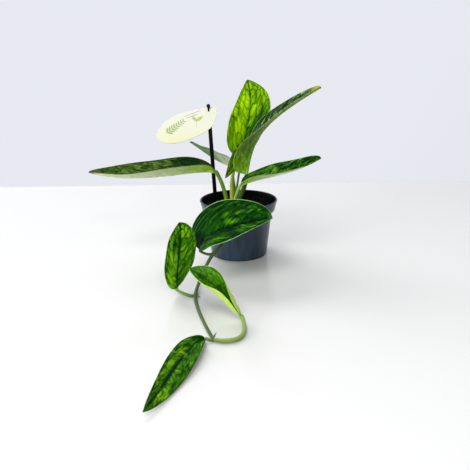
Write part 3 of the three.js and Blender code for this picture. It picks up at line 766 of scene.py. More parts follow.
# %% Make the blades
QUILT = {"vein_spacing": 11.0, "vein_sweep": 0.8, "rows": 3.2, "cushion_height": 0.9,
         "vein_depth": 0.35}
QUILT_OF = {
    "left": {"vein_spacing": 11.0, "rows": 3.4},
    "upright": {"vein_spacing": 16.0, "vein_sweep": 1.1, "rows": 3.4},
    "drooping": {"vein_spacing": 9.0, "rows": 1.6, "cushion_height": 0.4},
    "back": {"vein_spacing": 9.0, "rows": 2.2},
    "right": {"vein_spacing": 10.0, "rows": 3.0},
    "front": {"vein_spacing": 11.0, "rows": 3.6},
    "standing": {"vein_spacing": 10.0, "rows": 2.6},
    "young": {"vein_spacing": 10.0, "rows": 2.4, "cushion_height": 0.7},
    "lowest": {"vein_spacing": 11.0, "rows": 2.4, "cushion_height": 0.7},
}

for number, (name, leaf) in enumerate(LEAVES.items()):
    blade = blade_object(f"leaf_{name}", leaf)
    quilt = QUILT | QUILT_OF.get(name, {})
    grow(blade, QUILTING, seed=7.3 * number + 1, material=leaf_material(name, LEAF_LOOKS[name]), **quilt)
    finish_piece(blade, f"blade_{name}", slot="young_leaf" if name == "young" else "green_leaf")

# %% [markdown]
# ## Stalks and vine
#
# A stalk is a tube along a smooth curve. Its ring of points is carried along without twisting,
# and its radius swells a little where a leaf stalk has its knee, just under the blade. The paths
# are those of the CAD source.

# %% Stalk routes
STALK_RUN = 4
STALKS = {
    "left": {"path": ((-16, -6, 56), (-17.5, -6, 78), (-20, -6, 95.5), (-26, -6, 116)),
             "radii": (3.3, 3.2, 3.1, 3, 2.7)},
    "upright": {"path": ((-9, 9, 56), (-9.5, 10, 76), (-10, 13, 93), (-10, 18, 108), (-7, 26, 124)),
                "radii": (3, 3.4, 3.2, 2.2, 2)},
    "arching": {"path": ((-3, -6, 56), (-1, -6, 78), (4, -8, 96), (8.5, -11, 108)),
                "radii": (3.8, 4, 4, 3.6, 3)},
    "drooping": {"path": ((-8, 2, 56), (-7, 2, 80), (-4, 2, 97), (0, 3, 119), (3, 6, 140)),
                 "radii": (1.7, 1.7, 1.6, 1.5, 1.3)},
    "back": {"path": ((-3, 30, 56), (-4, 31, 78), (-6, 33, 100), (-8, 35, 118)),
             "radii": (2, 2, 1.8, 1.6)},
    "right": {"path": ((-17, -24, 56), (-10.5, -28, 82), (-6.5, -31, 93)),
              "radii": (3, 2.8, 2.6, 2.2, 2)},
    "front": {"path": ((-37, -104, 36), (-45, -108, 37)), "radii": (1.8, 1.8, 1.6), "run": 2},
    "standing": {"path": ((-59, -171, 3.6), (-67, -170, 3)), "radii": (2, 1.9, 1.7)},
    "young": {"path": ((-32.2, -284.5, 2.9), (-22, -289, 3.3), (-9, -287.5, 3.4),
                       (-0.5, -279, 3.4), (3, -263, 3.6)),
              "radii": (2.1, 2.6, 2.6, 2.4, 2.1)},
    "lowest": {"path": ((-32.2, -284.5, 2.8), (-36, -286.5, 3)), "radii": (1.7, 1.7, 1.6), "run": 1.5},
}
VINE_PATH = (
    (10, -36, 56), (6, -37, 80), (1, -44, 91), (-5, -60, 91.2), (-9, -75, 83), (-15, -90, 66),
    (-25, -99, 48), (-37, -104, 36), (-46, -114, 24), (-55, -135, 9), (-59, -171, 3.6),
    (-52.5, -212, 2.6), (-42.5, -251, 2.6), (-31.5, -286.5, 2.9),
)
VINE_RADII = (3, 2.8, 2.7, 2.5, 2.4, 2.2, 2, 2)
VINE_NODES = ((-37, -104, 36), (-59, -171, 3.6), (-32, -284.5, 2.9))
NODE_SWELLING = 0.4
NODE_REACH = 4
ROOTLETS = (
    ((-36.5, -103, 36), (-34, -106, 31), 0.9),
    ((-59, -171, 3.6), (-52, -176, 3.2), 0.9),
    ((-32.5, -283, 2.6), (-28.6, -281, 9), 1.1),
)
TUBE_SIDES = 20
TUBE_STEP = 0.9


# %% Tubes
def catmull_rom(a, b, c, d, t):
    """The stretch from b to c of a smooth curve through a, b, c and d."""
    return 0.5 * (2 * b + (c - a) * t + (2 * a - 5 * b + 4 * c - d) * t ** 2
                  + (3 * b - a - 3 * c + d) * t ** 3)


def smooth_path(points, step):
    """Evenly spaced points on the Catmull-Rom curve through points."""
    p = np.asarray(points, float)
    p = np.vstack([2 * p[0] - p[1], p, 2 * p[-1] - p[-2]])
    t = np.linspace(0, 1, 25)[:-1, None]
    spans = [catmull_rom(a, b, c, d, t) for a, b, c, d in zip(p, p[1:], p[2:], p[3:])]
    line = np.vstack(spans + [p[-2:-1]])
    far = np.concatenate([[0], np.cumsum(np.linalg.norm(np.diff(line, axis=0), axis=1))])
    even = np.linspace(0, far[-1], max(6, round(far[-1] / step)) + 1)
    return np.column_stack([np.interp(even, far, line[:, k]) for k in range(3)])


def tube_mesh(path, radii, start=0):
    """Points and faces of a tube with rounded ends. radii has one number for each point, or a
    row of them, one for each side."""
    along = unit(np.gradient(path, axis=0))
    normal = unit(np.cross(along[0], (0.31, 0.2, 0.93) if abs(along[0][2]) < 0.9 else (1, 0.2, 0)))
    angles = np.linspace(0, 2 * math.pi, TUBE_SIDES, endpoint=False)
    rings = []
    for i, centre in enumerate(path):
        normal = unit(normal - along[i] * (normal @ along[i]))
        other = np.cross(along[i], normal)
        circle = np.cos(angles)[:, None] * normal + np.sin(angles)[:, None] * other
        rings.append(centre + circle * np.reshape(radii[i], (-1, 1)))
    first, last = path[0] - along[0] * np.mean(radii[0]) * 0.35, path[-1] + along[-1] * 0.1
    points = np.vstack([*rings, first, last])
    faces = grid_faces(len(rings), TUBE_SIDES, start=start, closed=True)
    foot = start + len(rings) * TUBE_SIDES
    head = start + (len(rings) - 1) * TUBE_SIDES
    for k in range(TUBE_SIDES):
        after = (k + 1) % TUBE_SIDES
        faces.append((start + after, start + k, foot))
        faces.append((head + k, head + after, foot + 1))
    return points, faces


def tapered(radii, count):
    """Radii from foot to head, one for each of count points."""
    return np.interp(np.linspace(0, len(radii) - 1, count), np.arange(len(radii)), radii)


# %% [markdown]
# A stalk's skin is smooth and faintly ribbed along its length, yellow-green where it is thick
# and young, and olive where it is old. The colour changes along the stalk, so each point keeps
# its share of the way from foot to blade.

# %% Stalk finish
STALK_LOOKS = {
    "left": ((0.15, 0.25, 0.022), (0.09, 0.15, 0.018)),
    "upright": ((0.36, 0.44, 0.025), (0.13, 0.22, 0.02)),
    "arching": ((0.05, 0.085, 0.012), (0.035, 0.075, 0.008)),
    "drooping": ((0.03, 0.06, 0.006), (0.09, 0.17, 0.03)),
    "back": ((0.04, 0.08, 0.01), (0.14, 0.22, 0.07)),
    "right": ((0.22, 0.33, 0.06), (0.24, 0.40, 0.08)),
    "front": ((0.07, 0.12, 0.03), (0.08, 0.16, 0.03)),
    "standing": ((0.07, 0.11, 0.03), (0.22, 0.36, 0.05)),
    "young": ((0.22, 0.30, 0.07), (0.26, 0.38, 0.08)),
    "lowest": ((0.15, 0.23, 0.06), (0.14, 0.22, 0.05)),
}
VINE_LOOK = ((0.085, 0.12, 0.045), (0.055, 0.085, 0.03))


def stalk_material(name, low, high, streak):
    """Ribbed plant skin whose colour turns from low at the foot to high at the blade."""
    tree, shader, material = new_material(f"stalk_{name}")
    along, ring = attribute(tree, "along"), attribute(tree, "ring")
    colour = blend(tree, along, low, high)
    place = node(tree, "ShaderNodeCombineXYZ", {
        "X": times(tree, maths(tree, "SINE", ring), 2.2),
        "Y": times(tree, maths(tree, "COSINE", ring), 2.2),
        "Z": times(tree, along, 5.0)}).outputs[0]
    stripes = ramp(tree, noise(tree, 2.4, 3, 0.6, place), 0.42, 0.68)
    paler = tuple(min(1, c * 1.6 + 0.015) for c in low)
    colour = blend(tree, times(tree, stripes, streak), colour, paler)
    darker = tuple(c * 0.45 for c in high)
    spots = ramp(tree, noise(tree, 260, 4), 0.60, 0.74)
    colour = blend(tree, times(tree, spots, 0.45), colour, darker)
    ribs = bump(tree, stripes, 0.00025, 0.5)
    wire(tree, shader, {
        "Base Color": colour, "Roughness": ramp(tree, noise(tree, 500, 2), 0.2, 0.8, 0.3, 0.46),
        "Specular IOR Level": 0.3, "Normal": bump(tree, noise(tree, 900, 3), 0.0001, 0.5, ribs),
        "Subsurface Weight": 0.15, "Subsurface Radius": (0.6, 1.0, 0.25),
        "Subsurface Scale": 0.0015})
    return material


# %% Make the stalks
BLADE_GAP = 0.3
KNEE_LENGTH = 9
KNEE_SWELLING = 0.16


def stalk_object(name):
    """A leaf stalk from its foot to just before the blade, with its knee."""
    stalk = STALKS[name]
    base, after = (np.array(p, float) for p in LEAVES[name]["rib"][:2])
    into = unit(after - base)
    ends = [base - into * stalk.get("run", STALK_RUN), base - into * BLADE_GAP * 0.2]
    path = smooth_path([*stalk["path"], *ends], TUBE_STEP)
    far = np.arange(len(path)) * TUBE_STEP
    left = far[-1] - far
    radii = tapered(stalk["radii"], len(path))
    knee = np.exp(-((left - KNEE_LENGTH / 2) / (KNEE_LENGTH / 2)) ** 2)
    radii = radii * (1 + KNEE_SWELLING * knee * min(1, far[-1] / 60))
    angles = np.linspace(0, 2 * math.pi, TUBE_SIDES, endpoint=False)
    ribs = 1 + 0.022 * np.cos(5 * angles)[None, :] + 0.012 * np.sin(9 * angles + 1)[None, :]
    points, faces = tube_mesh(path, radii[:, None] * ribs)
    made = add_object(f"stalk_{name}", points * MM, faces)
    share = np.repeat(np.linspace(0, 1, len(path)), TUBE_SIDES)
    store(made, "along", np.concatenate([share, [0, 1]]))
    store(made, "ring", np.concatenate([np.tile(angles, len(path)), [0, 0]]))
    return made


for name, (low, high) in STALK_LOOKS.items():
    stalk = stalk_object(name)
    stalk.data.materials.append(stalk_material(name, low, high, 0.35))
    finish_piece(stalk, f"petiole_{name}", slot="leaf_stalk")

# %% [markdown]
# The vine thickens at each node, where a leaf, a short root and a ring-shaped scar sit. Its
# skin is grey-green with paler streaks.

# %% Make the vine
SCAR_DEPTH = 0.16
SCAR_REACH = 0.7


def vine_object():
    """The vine with its nodes, scars and rootlets."""
    path = smooth_path(VINE_PATH, TUBE_STEP)
    radii = tapered(VINE_RADII, len(path))
    for place in VINE_NODES:
        away = np.linalg.norm(path - np.array(place), axis=1)
        radii = radii + NODE_SWELLING * np.exp(-(away / NODE_REACH) ** 2)
        radii = radii - SCAR_DEPTH * np.exp(-((away - 3.2) / SCAR_REACH) ** 2)
    angles = np.linspace(0, 2 * math.pi, TUBE_SIDES, endpoint=False)
    ribs = 1 + 0.03 * np.cos(4 * angles)[None, :] + 0.015 * np.sin(11 * angles)[None, :]
    points, faces = tube_mesh(path, radii[:, None] * ribs)
    share = [np.repeat(np.linspace(0, 1, len(path)), TUBE_SIDES), [0, 1]]
    ring = [np.tile(angles, len(path)), [0, 0]]
    for start, end, thick in ROOTLETS:
        root = smooth_path([start, end], 0.5)
        more, more_faces = tube_mesh(root, tapered((thick, thick * 0.85, 0.35), len(root)), len(points))
        points = np.vstack([points, more])
        faces += more_faces
        share.append(np.full(len(more), 0.8))
        ring.append(np.zeros(len(more)))
    made = add_object("vine_stem", points * MM, faces)
    store(made, "along", np.concatenate(share))
    store(made, "ring", np.concatenate(ring))
    return made


vine = vine_object()
vine.data.materials.append(stalk_material("vine", *VINE_LOOK, 0.6))
finish_piece(vine, "vine", slot="vine_stem")

# %% [markdown]
# ## The pot
#
# A nursery pot is vacuum-formed or moulded from thin plastic: a tapered wall, a step out to a
# collar band, and a rolled lip. Spinning its section round the axis gives it all at once, and
# the drain holes are cut out of its floor.

# %% Pot section
POT_RADIUS = 60
POT_HEIGHT = 87.6
POT_BASE_RADIUS = 44
POT_WALL = 1.3
WALL_TOP = 68.6
WALL_RADIUS = 51.8
COLLAR_RADIUS = 55.8
LIP_RADIUS = 59
POT_SIDES = 144
DRAIN_RADIUS = 3.5
DRAIN_RING = 30
DRAIN_COUNT = 6
POT_OUTSIDE = (
    (0, 0), (40, 0), (42.8, 0), (43.6, 0.35), (POT_BASE_RADIUS, 1.2), (45.4, 14), (47.5, 32),
    (49.6, 50), (WALL_RADIUS - 0.2, WALL_TOP - 2), (WALL_RADIUS, WALL_TOP - 0.8),
    (WALL_RADIUS + 0.7, WALL_TOP + 0.1), (COLLAR_RADIUS - 0.7, WALL_TOP + 1.7),
    (COLLAR_RADIUS, WALL_TOP + 2.2), (COLLAR_RADIUS + 0.7, WALL_TOP + 3.2), (57.6, 77),
    (LIP_RADIUS - 0.1, POT_HEIGHT - 3.2), (LIP_RADIUS, POT_HEIGHT - 2.6),
    (POT_RADIUS - 0.1, POT_HEIGHT - 2.2), (POT_RADIUS, POT_HEIGHT - 1.4),
    (POT_RADIUS - 0.15, POT_HEIGHT - 0.5), (POT_RADIUS - 0.7, POT_HEIGHT),
)
POT_INSIDE = (
    (57.9, POT_HEIGHT - 0.15), (57.6, POT_HEIGHT - 1), (57.2, POT_HEIGHT - 4), (56.3, 78),
    (55.5, WALL_TOP + 4.2), (54.5, WALL_TOP + 3.2), (50.7, WALL_TOP + 1), (50.3, WALL_TOP - 1),
    (48.2, 48), (45.7, 26), (42.7, 2.4), (41.6, POT_WALL), (0, POT_WALL),
)


def lathe(name, section, sides):
    """Spins a section of (radius, height) points that starts and ends on the axis."""
    angles = np.linspace(0, 2 * math.pi, sides, endpoint=False)
    rings = [(r * np.cos(angles), r * np.sin(angles), np.full(sides, z)) for r, z in section[1:-1]]
    points = np.concatenate([np.stack(ring, -1) for ring in rings])
    faces = grid_faces(len(rings), sides, closed=True)
    foot, head = len(points), len(points) + 1
    points = np.vstack([points, (0, 0, section[0][1]), (0, 0, section[-1][1])])
    top = (len(rings) - 1) * sides
    for k in range(sides):
        after = (k + 1) % sides
        faces.append((after, k, foot))
        faces.append((top + k, top + after, head))
    return add_object(name, points * MM, faces)


def cut(obj, cutter):
    """Takes the cutter's shape out of the object, and the cutter out of the scene."""
    modifier = obj.modifiers.new("cut", "BOOLEAN")
    modifier.operation = "DIFFERENCE"
    modifier.object = cutter
    modifier.solver = "EXACT"
    baked(obj)
    bpy.data.objects.remove(cutter)


# %% [markdown]
# The plastic is a dark blue-grey, smooth but not mirror-like. Moulding leaves faint streaks that
# run up the wall, and handling dulls it here and there with a little soil below the lip. The inner
# wall is painted near-black: painted shade in the hollow of the pot.

# %% Pot finish
POT_COLOUR = (0.022, 0.040, 0.068)
POT_PALE = (0.036, 0.060, 0.096)
POT_INSIDE_SHADE = (0.0012, 0.0012, 0.0016)
SOIL_SMUDGE = (0.035, 0.028, 0.022)


def pot_material():
    """Blue-grey moulded plastic, with painted shade on its inner wall."""
    tree, shader, material = new_material("pot_plastic")
    place = node(tree, "ShaderNodeTexCoord").outputs["Object"]
    tall = node(tree, "ShaderNodeMapping", {"Vector": place, "Scale": (1, 1, 0.12)}).outputs[0]
    streaks = noise(tree, 120, 4, 0.55, tall)
    cloud = noise(tree, 22, 3)
    colour = blend(tree, ramp(tree, streaks, 0.35, 0.7), POT_COLOUR, POT_PALE)
    height = node(tree, "ShaderNodeSeparateXYZ", {"Vector": place}).outputs["Z"]
    near_lip = ramp(tree, height, 0.078, 0.087)
    inner = attribute(tree, "inner")
    smudge = times(tree, ramp(tree, noise(tree, 90, 4), 0.52, 0.72), near_lip)
    colour = blend(tree, times(tree, smudge, 0.6), colour, SOIL_SMUDGE)
    # Painted shade: the inner wall is coloured near-black because it lies in shade.
    colour = blend(tree, inner, colour, POT_INSIDE_SHADE)
    rough = total(tree, ramp(tree, cloud, 0.3, 0.7, 0.26, 0.36), times(tree, smudge, 0.3))
    fine = bump(tree, noise(tree, 1400, 2), 0.00005, 0.5)
    wire(tree, shader, {"Base Color": colour, "Roughness": rough, "Specular IOR Level": 0.3,
                        "Normal": bump(tree, streaks, 0.00018, 0.45, fine)})
    return material


pot = lathe("pot_shell", (*POT_OUTSIDE, *POT_INSIDE), POT_SIDES)
outside_points = (len(POT_OUTSIDE) - 1) * POT_SIDES
inner_points = len(pot.data.vertices) - outside_points
store(pot, "inner", np.repeat([0.0, 1.0], [outside_points, inner_points]))
for k in range(DRAIN_COUNT):
    angle = 2 * math.pi * (k + 0.5) / DRAIN_COUNT
    centre = (DRAIN_RING * MM * math.cos(angle), DRAIN_RING * MM * math.sin(angle), 0)
    bpy.ops.mesh.primitive_cylinder_add(
        vertices=24, radius=DRAIN_RADIUS * MM, depth=4 * POT_WALL * MM, location=centre)
    cut(pot, bpy.context.object)
paint(pot, pot_material())
finish_piece(pot, "pot", slot="pot_plastic")

# %% [markdown]
# ## The soil
#
# Potting mix is peat, bark and a few white grains of perlite, dark because it is damp. The body
# below is one closed solid. Its top is roughened, and a Geometry Nodes tree then scatters crumbs,
# bark and perlite on it, each a small rock of a few dozen faces, turned and sized at random from
# a fixed seed.

# %% Soil body
SOIL_LEVEL = 76
SOIL_BUMP = 1.1
SOIL_SIDES = 120
SOIL_RINGS = np.linspace(55.2, 2.0, 40)
SOIL_BODY = ((0, 1.6), (41.3, 1.6), (42.4, 2.7), (45.4, 26), (47.9, 48), (50.0, 68), (50.4, 70),
             (54.2, 72.2), (55.2, 73.4))


def soil_height(x, y):
    """The heaped and uneven top of the soil, in millimetres."""
    coarse = np.sin(0.19 * x + 0.7) * np.cos(0.23 * y - 0.4)
    fine = np.sin(0.41 * x - 0.33 * y + 1.9)
    crumbs = np.sin(1.3 * x + 0.9 * y) * np.sin(1.1 * y - 0.8 * x + 2)
    heap = 1 - np.hypot(x, y) / POT_RADIUS
    return SOIL_LEVEL + SOIL_BUMP * (0.6 * coarse + 0.4 * fine) + 0.35 * crumbs + heap


section = (*SOIL_BODY, *((r, SOIL_LEVEL) for r in SOIL_RINGS[1:]), (0, SOIL_LEVEL))
soil = lathe("soil_body", section, SOIL_SIDES)
for vertex in soil.data.vertices:
    if abs(vertex.co.z - SOIL_LEVEL * MM) < 1e-6:
        vertex.co.z = soil_height(vertex.co.x / MM, vertex.co.y / MM) * MM

# %% Soil finish
def crumb_material(name, colours, rough):
    """Damp, rough, slightly speckled matter."""
    tree, shader, material = new_material(name)
    colour = blend(tree, ramp(tree, noise(tree, 240, 4, 0.6), 0.35, 0.7), *colours)
    wire(tree, shader, {"Base Color": colour, "Roughness": rough, "Specular IOR Level": 0.12,
                        "Normal": bump(tree, noise(tree, 700, 5, 0.65), 0.0006, 0.8)})
    return material


PEAT = crumb_material("peat", ((0.0012, 0.0008, 0.0008), (0.006, 0.004, 0.0035)), 0.85)
BARK = crumb_material("bark", ((0.004, 0.0026, 0.002), (0.016, 0.011, 0.008)), 0.75)
PERLITE = crumb_material("perlite", ((0.62, 0.61, 0.58), (0.82, 0.82, 0.80)), 0.7)
soil.data.materials.append(PEAT)
finish_piece(soil, "soil", slot="potting_soil")


# %% Scatter tree
def scatter_tree():
    """Puts small rocks on the faces of a mesh."""
    tree, given = new_tree("scatter", (
        ("Density", 100000.0), ("Least Size", 0.0005), ("Most Size", 0.0012), ("Flatness", 1.0)),
        (("Seed", 1), ("Fineness", 1)))
    points = node(tree, "GeometryNodeDistributePointsOnFaces", {
        "Mesh": given["Geometry"], "Density": given["Density"], "Seed": given["Seed"]}).outputs["Points"]
    rock = node(tree, "GeometryNodeMeshIcoSphere", {"Radius": 1.0, "Subdivisions": given["Fineness"]})
    spin = node(tree, "FunctionNodeRandomValue", {
        0: (0, 0, 0), 1: (6.28, 6.28, 6.28), "Seed": given["Seed"]}, data_type="FLOAT_VECTOR").outputs[0]
    size = node(tree, "FunctionNodeRandomValue", {
        2: given["Least Size"], 3: given["Most Size"], "Seed": given["Seed"]}, data_type="FLOAT").outputs[1]
    scale = node(tree, "ShaderNodeCombineXYZ", {
        "X": times(tree, size, 1.25), "Y": size,
        "Z": times(tree, size, given["Flatness"])}).outputs[0]
    placed = node(tree, "GeometryNodeInstanceOnPoints", {
        "Points": points, "Instance": rock.outputs["Mesh"], "Rotation": spin, "Scale": scale}).outputs[0]
    real = node(tree, "GeometryNodeRealizeInstances", {"Geometry": placed}).outputs[0]
    lumpy = node(tree, "ShaderNodeTexNoise", {"Scale": 900.0, "Detail": 1.0}).outputs["Color"]
    offset = node(tree, "ShaderNodeVectorMath", {0: lumpy, 1: (0.5, 0.5, 0.5)}, operation="SUBTRACT")
    offset = node(tree, "ShaderNodeVectorMath", {0: offset.outputs[0], "Scale": 0.0009}, operation="SCALE")
    real = node(tree, "GeometryNodeSetPosition", {"Geometry": real, "Offset": offset.outputs[0]}).outputs[0]
    real = node(tree, "GeometryNodeSetMaterial", {"Geometry": real, "Material": given["Material"]})
    node(tree, "NodeGroupOutput", {"Geometry": real.outputs[0]})
    return tree


SCATTER = scatter_tree()
print("scatter tree:", len(SCATTER.nodes), "nodes")

# %% Scatter the grains
GRAINS = {
    "soil_crumbs": {"density": 330000.0, "least_size": 0.0004, "most_size": 0.0013, "flatness": 0.8,
                    "seed": 3, "fineness": 1, "material": PEAT},
    "soil_bark": {"density": 26000.0, "least_size": 0.0009, "most_size": 0.0024, "flatness": 0.35,
                  "seed": 8, "fineness": 1, "material": BARK},
    "soil_perlite": {"density": 2600.0, "least_size": 0.0007, "most_size": 0.0015, "flatness": 0.85,
                     "seed": 5, "fineness": 2, "material": PERLITE},
}
GRAIN_EDGE = 54.0


def grain_bed():
    """A grid that follows the top of the soil, so that the grains sit half in it."""
    angles = np.linspace(0, 2 * math.pi, 72, endpoint=False)
    radii = np.linspace(1.0, GRAIN_EDGE, 20)
    x = np.outer(radii, np.cos(angles))
    y = np.outer(radii, np.sin(angles))
    points = np.stack([x, y, soil_height(x, y)], -1).reshape(-1, 3)
    return add_object("grain_bed", points * MM, grid_faces(len(radii), len(angles), closed=True, flip=True))


for name, values in GRAINS.items():
    grains = grain_bed()
    grains.name = name
    grow(grains, SCATTER, **values)
    finish_piece(grains, slot="potting_soil")

# %% [markdown]
# ## Stake and label
#
# The stake is a flat moulded bar that narrows to a neck with a round knob, so that the label's
# slot can slip over it. The label is die-cut from cream plastic. Both are flat outlines given
# thickness and a soft edge.

# %% Stake
STAKE_FOOT = Vector((-35, 16, 56))
STAKE_HEAD = Vector((-43.4, 14, 228))
STAKE_WIDTH = 6
STAKE_THICKNESS = 2
NECK_WIDTH = 2.8
NECK_LENGTH = 18
KNOB_RADIUS = 2.9
STAKE_LENGTH = (STAKE_HEAD - STAKE_FOOT).length
STAKE_WAY = (STAKE_HEAD - STAKE_FOOT).normalized()


def cut_out(name, outlines, thickness, edge, curved=False):
    """A flat piece from closed outlines in millimetres, the later ones holes in the first, with
    rounded edges. It lies in the local XY plane, centred on it."""
    shape = bpy.data.curves.new(name, "CURVE")
    shape.dimensions = "2D"
    shape.fill_mode = "BOTH"
    shape.extrude = (thickness / 2 - edge) * MM
    shape.bevel_depth = edge * MM
    shape.bevel_resolution = 2
    shape.offset = -edge * MM
    for outline in outlines:
        line = shape.splines.new("POLY")
        line.points.add(len(outline) - 1)
        for point, (x, y) in zip(line.points, outline):
            point.co = (x * MM, y * MM, 0, 1)
        line.use_cyclic_u = True
    made = bpy.data.objects.new(name, shape)
    bpy.context.scene.collection.objects.link(made)
    graph = bpy.context.evaluated_depsgraph_get()
    mesh = bpy.data.meshes.new_from_object(made.evaluated_get(graph), depsgraph=graph)
    bpy.data.objects.remove(made)
    solid = bpy.data.objects.new(name, mesh)
    bpy.context.scene.collection.objects.link(solid)
    mend = bmesh.new()
    mend.from_mesh(mesh)
    bmesh.ops.remove_doubles(mend, verts=mend.verts, dist=1e-6)
    bmesh.ops.recalc_face_normals(mend, faces=mend.faces)
    mend.to_mesh(mesh)
    mend.free()
    return solid


def join(target, *others):
    """Makes one mesh of several objects."""
    with bpy.context.temp_override(active_object=target, selected_editable_objects=[target, *others]):
        bpy.ops.object.join()
    return target


half, neck, shoulder = STAKE_WIDTH / 2, NECK_WIDTH / 2, STAKE_LENGTH - NECK_LENGTH
right_side = [(half * 0.6, 0), (half, 6), (half, shoulder - 5), (neck, shoulder), (neck, STAKE_LENGTH)]
stake = cut_out("stake_bar", [right_side + [(-x, y) for x, y in right_side[::-1]]], STAKE_THICKNESS, 0.4)
stake.data.transform(Matrix.Rotation(math.pi / 2, 4, "X"))
bpy.ops.mesh.primitive_uv_sphere_add(segments=32, ring_count=20, radius=KNOB_RADIUS * MM)
knob = bpy.context.object
knob.data.transform(Matrix.Translation((0, 0, STAKE_LENGTH * MM)))
join(stake, knob)
stake_turn = Vector((0, 0, 1)).rotation_difference(STAKE_WAY).to_matrix().to_4x4()
stake.data.transform(Matrix.Translation(STAKE_FOOT * MM) @ stake_turn)


# %% Stake finish
def stake_material():
    """Black moulded plastic with a fine grain and a few scuffs."""
    tree, shader, material = new_material("stake_black")
    scuffs = ramp(tree, noise(tree, 130, 5, 0.6), 0.55, 0.75)
    colour = blend(tree, scuffs, (0.002, 0.002, 0.0025), (0.008, 0.008, 0.009))
    wire(tree, shader, {
        "Base Color": colour, "Roughness": ramp(tree, scuffs, 0, 1, 0.34, 0.5),
        "Specular IOR Level": 0.12, "Normal": bump(tree, noise(tree, 1600, 2), 0.00006, 0.6)})
    return material


paint(stake, stake_material())
finish_piece(stake, "stake", slot="stake_plastic")

# %% Label
LABEL_THICKNESS = 0.8
LABEL_LEAN = 40
LABEL_TURN = 26.5
LABEL_DROP = 6.2
SLOT_WIDTH = 3.6
SLOT_LENGTH = 5.8
LABEL_OUTLINE = ((9.5, 2), (-17, 9.5), (-35.5, 13), (-54.5, 14), (-73, 8.5), (-87.5, -3),
                 (-85.5, -17.5), (-67, -29.5), (-36.5, -33), (-10, -29), (3.5, -17), (10, -6.5))
LABEL_PLACE = (
    Matrix.Translation((STAKE_FOOT + STAKE_WAY * (STAKE_LENGTH - LABEL_DROP)) * MM)
    @ Matrix.Rotation(math.radians(90 - LABEL_LEAN), 4, "X")
    @ Matrix.Rotation(math.radians(LABEL_TURN), 4, "Z")
)


def closed_curve(points, per_span=8):
    """A smooth closed line through points."""
    p = np.asarray(points, float)
    t = np.linspace(0, 1, per_span, endpoint=False)[:, None]
    around = (np.roll(p, -k, axis=0) for k in (-1, 0, 1, 2))
    return np.vstack([catmull_rom(a, b, c, d, t) for a, b, c, d in zip(*around)])


def slot_outline():
    """A slot with round ends that runs along the stake."""
    tilt = math.radians(LABEL_TURN)
    reach = (SLOT_LENGTH - SLOT_WIDTH) / 2
    points = []
    for end, first in ((1, 0), (-1, math.pi)):
        for angle in np.linspace(first, first + math.pi, 12) - tilt:
            points.append((end * reach * math.sin(tilt) + SLOT_WIDTH / 2 * math.cos(angle),
                           end * reach * math.cos(tilt) + SLOT_WIDTH / 2 * math.sin(angle)))
    return points


label = cut_out("label_card", [closed_curve(LABEL_OUTLINE), slot_outline()], LABEL_THICKNESS, 0.12)
label.data.transform(LABEL_PLACE)

# %% [markdown]
# The label's print is a plain ornament of this part's own: a small sprig with paired leaflets
# and a seedling, in pale greens, and two thin ruled lines for a name that nobody has written.
# Each is a thin film that stands a hair above the card.


# %% Label print
def laid(points, x, y, degrees):
    """Points turned by the angle and moved to x, y."""
    c, s = math.cos(math.radians(degrees)), math.sin(math.radians(degrees))
    return points @ np.array([[c, s], [-s, c]]) + (x, y)


def leaflet(x, y, length, width, degrees):
    """The outline of a small pointed leaf that starts at x, y."""
    t = np.linspace(0, 1, 14)
    side = width / 2 * np.sin(math.pi * t) ** 0.8 * (1 - 0.35 * t)
    up = np.column_stack([length * t, side])
    down = np.column_stack([length * t, -side])[-2:0:-1]
    return laid(np.vstack([up, down]), x, y, degrees)


def bar(x, y, length, width, degrees):
    """The outline of a thin straight line that starts at x, y."""
    half = width / 2
    return laid(np.array([(0, -half), (length, -half), (length, half), (0, half)]), x, y, degrees)


def film_material(name, colour):
    """Printed ink, a little uneven."""
    tree, shader, material = new_material(name)
    darker = tuple(c * 0.7 for c in colour)
    wire(tree, shader, {"Base Color": blend(tree, noise(tree, 300, 3), darker, colour),
                        "Roughness": 0.5})
    return material


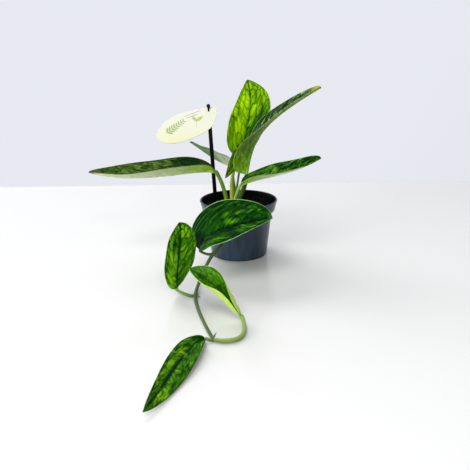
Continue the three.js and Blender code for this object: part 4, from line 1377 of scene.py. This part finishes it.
FILM = 0.06
SPRIG_PAIRS = 8
SPRIG_FOOT = (-74, -8)
SPRIG_LENGTH = 34
SPRIG_TILT = 14
LEAFLET_ANGLE = 52
sprig = [bar(*SPRIG_FOOT, SPRIG_LENGTH, 0.7, SPRIG_TILT)]
for k in range(SPRIG_PAIRS):
    share = (k + 0.6) / SPRIG_PAIRS
    x = SPRIG_FOOT[0] + SPRIG_LENGTH * share * math.cos(math.radians(SPRIG_TILT))
    y = SPRIG_FOOT[1] + SPRIG_LENGTH * share * math.sin(math.radians(SPRIG_TILT))
    size = 9.5 * (1 - 0.45 * share)
    for side in (LEAFLET_ANGLE, -LEAFLET_ANGLE):
        sprig.append(leaflet(x, y, size, size * 0.42, SPRIG_TILT + side))
seedling = [bar(-30, -19, 12, 0.7, 62), leaflet(-25, -9.5, 12, 6, 96), leaflet(-25, -9.5, 13, 6.5, 18)]
rules = [bar(-38, 6.2, 26, 0.8, -3), bar(-36, 2.4, 18, 0.8, -3)]
PRINTS = {
    "label_sprig": (sprig, (0.42, 0.50, 0.20)),
    "label_seedling": (seedling, (0.50, 0.58, 0.22)),
    "label_rules": (rules, (0.36, 0.36, 0.36)),
}
for name, (outlines, colour) in PRINTS.items():
    films = [cut_out(f"{name}_{k}", [outline], FILM, 0.01) for k, outline in enumerate(outlines)]
    film = join(*films) if len(films) > 1 else films[0]
    film.name = name
    film.data.transform(LABEL_PLACE @ Matrix.Translation((0, 0, (LABEL_THICKNESS / 2) * MM)))
    paint(film, film_material(name, colour))
    finish_piece(film, slot="label_plastic")


# %% Label finish
def label_material():
    """Cream card, warmer towards its lower edge."""
    tree, shader, material = new_material("label_cream")
    height = node(tree, "ShaderNodeSeparateXYZ", {
        "Vector": node(tree, "ShaderNodeTexCoord").outputs["Object"]}).outputs["Z"]
    colour = blend(tree, ramp(tree, height, 0.205, 0.175), (0.70, 0.70, 0.57), (0.68, 0.68, 0.40))
    colour = blend(tree, times(tree, noise(tree, 90, 3), 0.1), colour, (0.7, 0.7, 0.6))
    wire(tree, shader, {"Base Color": colour, "Roughness": 0.4,
                        "Normal": bump(tree, noise(tree, 1200, 3), 0.00005, 0.4)})
    return material


paint(label, label_material())
finish_piece(label, "label", slot="label_plastic")
